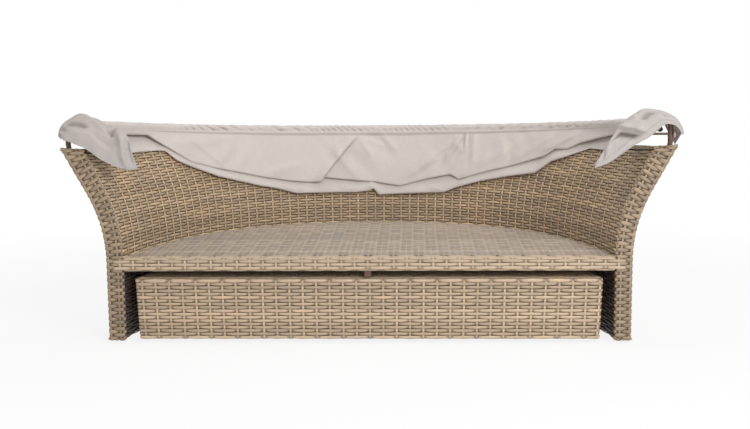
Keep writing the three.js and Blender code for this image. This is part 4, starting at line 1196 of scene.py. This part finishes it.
def rear_panel(columns):
    """The panel from its lacing under the rim, down the wall, round its lower edge and up again in
    front of itself to the tie, with its own creases; and the rows of each part."""
    s = round_wall(rear_end, columns)
    top = rim_height(s) - lace_drop
    low = np.minimum(np.interp(s, *rear_edge.T), top - least_hang)
    down = np.linspace(0, 1, back_rows * 2 + 1)
    off = lace_off + (rear_stand_off + rear_waver * np.sin(s * 40 + 3 * down)) * smooth(down / lace_run)
    wall_side = face(s, mix(top, low, down), True, off)
    edge_off = off[:, -1:]
    band = band_width * smooth((top - low) / band_fade)
    fold = folded_under(s, low, edge_off, band, 2 * fold_rows)
    up = shares(hang_rows)
    z = mix(low, rim_height(s) - bow_clearance, up)
    roll = slanting_folds(s, 1 - up, 9, slant_count, rear_slant_depth) + creases(s, z, rear_creases)
    front_off = edge_off + band + roll * smooth(band / band_width)
    rise = face(s, z, True, mix(front_off, bow_stand_off, smooth((z - low) / band_fade)))
    grid = np.concatenate([wall_side, fold, rise, tied(s, rise, rear_tie)], axis=1)
    return grid, np.array([back_rows * 2 + 1, 2 * fold_rows, hang_rows, tie_rows])


rear_grid, rear_counts = rear_panel(rear_columns)
rear_sheet = fabric("rear_canopy_panel", [sheet_mesh(rear_grid, cloth_thick)], canopy_cloth, "rear_panel")
bend_between(
    rear_sheet, "root", "middle_bow_body", bend_start, bend_end,
    row_shares(rear_counts, (0, 0.45, 0.55, 0.97, 1), rear_columns),
)

# Corner flaps
# The ends of the canopy past the sleeves are thrown forward over the pivots. Each rises from behind
# the sleeves over the post in a hump and falls in front to a point, with a wide hem stitched twice.

# Knots from outside the post inwards, in each row a flap's back, crest, middle and hem: the distance
# from the middle of the seat, the depth and the height.
left_knots = np.array([
    [(1.025, 0.085, 0.700), (1.035, 0.031, 0.712), (1.030, 0.006, 0.710), (1.022, -0.006, 0.704)],
    [(1.020, 0.090, 0.722), (1.029, 0.028, 0.735), (1.022, -0.004, 0.722), (1.011, -0.012, 0.701)],
    [(1.005, 0.100, 0.750), (1.010, 0.024, 0.758), (1.003, -0.010, 0.732), (0.990, -0.015, 0.693)],
    [(0.980, 0.110, 0.762), (0.982, 0.024, 0.770), (0.975, -0.012, 0.735), (0.963, -0.016, 0.682)],
    [(0.953, 0.120, 0.764), (0.949, 0.028, 0.772), (0.944, -0.010, 0.730), (0.937, -0.016, 0.671)],
    [(0.930, 0.130, 0.759), (0.922, 0.032, 0.763), (0.917, -0.009, 0.715), (0.911, -0.014, 0.652)],
    [(0.905, 0.140, 0.740), (0.893, 0.034, 0.747), (0.890, -0.007, 0.696), (0.886, -0.012, 0.633)],
    [(0.880, 0.150, 0.718), (0.857, 0.032, 0.727), (0.856, -0.004, 0.678), (0.854, -0.008, 0.616)],
    [(0.865, 0.150, 0.722), (0.834, 0.024, 0.733), (0.831, -0.002, 0.673), (0.828, -0.005, 0.605)],
    [(0.850, 0.140, 0.702), (0.806, 0.014, 0.714), (0.803, 0.000, 0.658), (0.798, -0.002, 0.598)],
    [(0.835, 0.120, 0.680), (0.796, 0.010, 0.702), (0.785, 0.004, 0.658), (0.767, 0.002, 0.602)],
])
right_knots = np.array([
    [(1.035, 0.098, 0.664), (1.045, 0.031, 0.710), (1.044, 0.008, 0.708), (1.039, -0.004, 0.703)],
    [(1.030, 0.104, 0.676), (1.036, 0.028, 0.732), (1.034, 0.000, 0.727), (1.027, -0.010, 0.716)],
    [(1.010, 0.108, 0.712), (1.014, 0.024, 0.760), (1.014, -0.008, 0.750), (1.013, -0.014, 0.734)],
    [(0.984, 0.112, 0.758), (0.984, 0.024, 0.778), (0.988, -0.010, 0.764), (0.993, -0.015, 0.740)],
    [(0.955, 0.120, 0.776), (0.952, 0.028, 0.785), (0.963, -0.010, 0.766), (0.974, -0.016, 0.737)],
    [(0.928, 0.130, 0.774), (0.917, 0.032, 0.786), (0.934, -0.008, 0.756), (0.952, -0.016, 0.718)],
    [(0.905, 0.140, 0.757), (0.894, 0.034, 0.774), (0.908, -0.006, 0.738), (0.924, -0.014, 0.695)],
    [(0.880, 0.150, 0.730), (0.858, 0.030, 0.751), (0.868, -0.003, 0.714), (0.882, -0.012, 0.672)],
    [(0.860, 0.120, 0.702), (0.827, 0.020, 0.719), (0.834, 0.000, 0.684), (0.841, -0.008, 0.642)],
    [(0.805, 0.070, 0.652), (0.791, 0.012, 0.664), (0.794, 0.002, 0.640), (0.797, -0.004, 0.612)],
    [(0.763, 0.030, 0.612), (0.761, 0.006, 0.615), (0.757, 0.003, 0.606), (0.753, 0.000, 0.595)],
])
# Ridges and hollows: from u and v to u and v, how far out, and the widths on the two sides.
left_folds = [
    (0.20, 0.46, 0.46, 0.58, -0.015, 0.11, 0.06), (0.30, 0.30, 0.66, 0.46, 0.012, 0.05, 0.03),
    (0.84, 0.42, 0.87, 0.92, 0.012, 0.05, 0.025), (0.10, 0.45, 0.18, 0.75, -0.008, 0.04, 0.06),
    (0.50, 0.60, 0.74, 0.70, -0.006, 0.06, 0.08), (0.68, 0.30, 0.70, 0.52, -0.014, 0.02, 0.03),
    (0.93, 0.50, 0.95, 0.90, -0.006, 0.03, 0.03),
]
right_folds = [
    (0.79, 0.36, 0.60, 0.84, 0.018, 0.032, 0.014), (0.835, 0.42, 0.66, 0.86, -0.024, 0.022, 0.030),
    (0.42, 0.42, 0.62, 0.58, -0.016, 0.09, 0.07), (0.64, 0.38, 0.60, 0.66, 0.008, 0.03, 0.03),
    (0.28, 0.40, 0.34, 0.70, -0.008, 0.06, 0.05), (0.89, 0.46, 0.91, 0.78, 0.010, 0.025, 0.016),
    (0.42, 0.48, 0.30, 0.60, 0.006, 0.04, 0.04),
]
flap_columns, flap_rows = 130, 130
hem_start, hem_end, hem_step, hem_thick = 0.80, 0.965, 0.01, 0.0016
stitch_depth, stitch_width, stitch_inset = 0.0012, 0.006, 0.02
waver_size, hollow_depth, hollow_start = 0.0012, 0.016, 0.15
knot_rows = np.array([0, 0.34, 0.68, 1.0])
turned_angle, still_angle = 30, 150
flap_front, flap_back = -0.02, 0.12


def through_points(stations, knots, share):
    """Points on the line through a few knots, at shares of the way: each knot has its own station,
    and the line is a Catmull-Rom curve. knots is an array of knots by lines by 3."""
    k = np.clip(np.searchsorted(stations, share, side="right") - 1, 0, len(stations) - 2)
    t = ((share - stations[k]) / (stations[k + 1] - stations[k]))[:, None, None]
    before, here = knots[np.maximum(k - 1, 0)], knots[k]
    ahead, beyond = knots[k + 1], knots[np.minimum(k + 2, len(stations) - 1)]
    return 0.5 * (
        2 * here + (ahead - before) * t + (2 * before - 5 * here + 4 * ahead - beyond) * t**2
        + (3 * here - before - 3 * ahead + beyond) * t**3
    )


def flap(side, knots, folds, stitched):
    """The points of a flap, u across and v from the back to the hem, moved out along its normals by
    its folds, by a fine waver along the hem and by the doubled hem itself, if it shows its stitched
    side; and its marks: the stitches, and painted shade in the hollows."""
    knots = knots * (side, 1, 1) + (0, front, 0)
    u, v = np.linspace(0, 1, flap_columns), np.linspace(0, 1, flap_rows)
    lines = through_points(np.linspace(0, 1, len(knots)), knots, u)
    points = through_points(knot_rows, lines.transpose(1, 0, 2), v).transpose(1, 0, 2)
    normal = unit(np.cross(np.gradient(points, axis=0), np.gradient(points, axis=1)) * side)
    u, v = np.meshgrid(u, v, indexing="ij")
    hem = smooth((v - hem_start) / hem_step) * stitched
    stitches = stitched * sum(
        np.exp(-((v - line) / stitch_width) ** 2) for line in (hem_start + stitch_inset, hem_end)
    )
    waver = waver_size * np.sin(u * 31 + 4 * v) * smooth((v - 0.5) / 0.5)
    shape = creases(u, v, folds, 1.0, 0.15, 1.15)
    out = shape + waver + hem_thick * hem - stitch_depth * stitches
    # The stitches, and painted shade in the hollows of the folds.
    marks = np.clip(stitches + pleat_shade(shape, hollow_depth, hollow_start), 0, 1)
    return points + normal * out[..., None], marks


def turn_share(points):
    """The share of the middle bow's turn that each point of a flap takes, by its angle over the pivot
    from straight behind: all of it behind and none in front, where the flap lies on the arm."""
    y, z = points[..., 1].ravel() - front - pivot_depth, points[..., 2].ravel() - pivot_height
    angle = np.degrees(np.arctan2(z, y))
    angle = np.where(angle < -90, angle + 360, angle)
    return 1 - smooth((angle - turned_angle) / (still_angle - turned_angle))


# The flaps' cloth is the canopy cloth coloured darker: painted shade.
shaded_canopy_cloth = canvas("shaded_canopy_cloth", (188, 179, 173), (178, 174, 173), (126, 116, 109))
for side, name, knots, folds in [
    (-1, "left", left_knots, left_folds), (1, "right", right_knots, right_folds),
]:
    points, marks = flap(side, knots, folds, side == 1)
    piece = fabric(f"corner_flap_cloth_{name}", [sheet_mesh(points, cloth_thick, marks)],
                   shaded_canopy_cloth, f"corner_flap_{name}")
    ends = ((0, front + y, bend_height) for y in (flap_front, flap_back))
    bend_between(piece, "root", "middle_bow_body", *ends, np.tile(turn_share(points), 2))
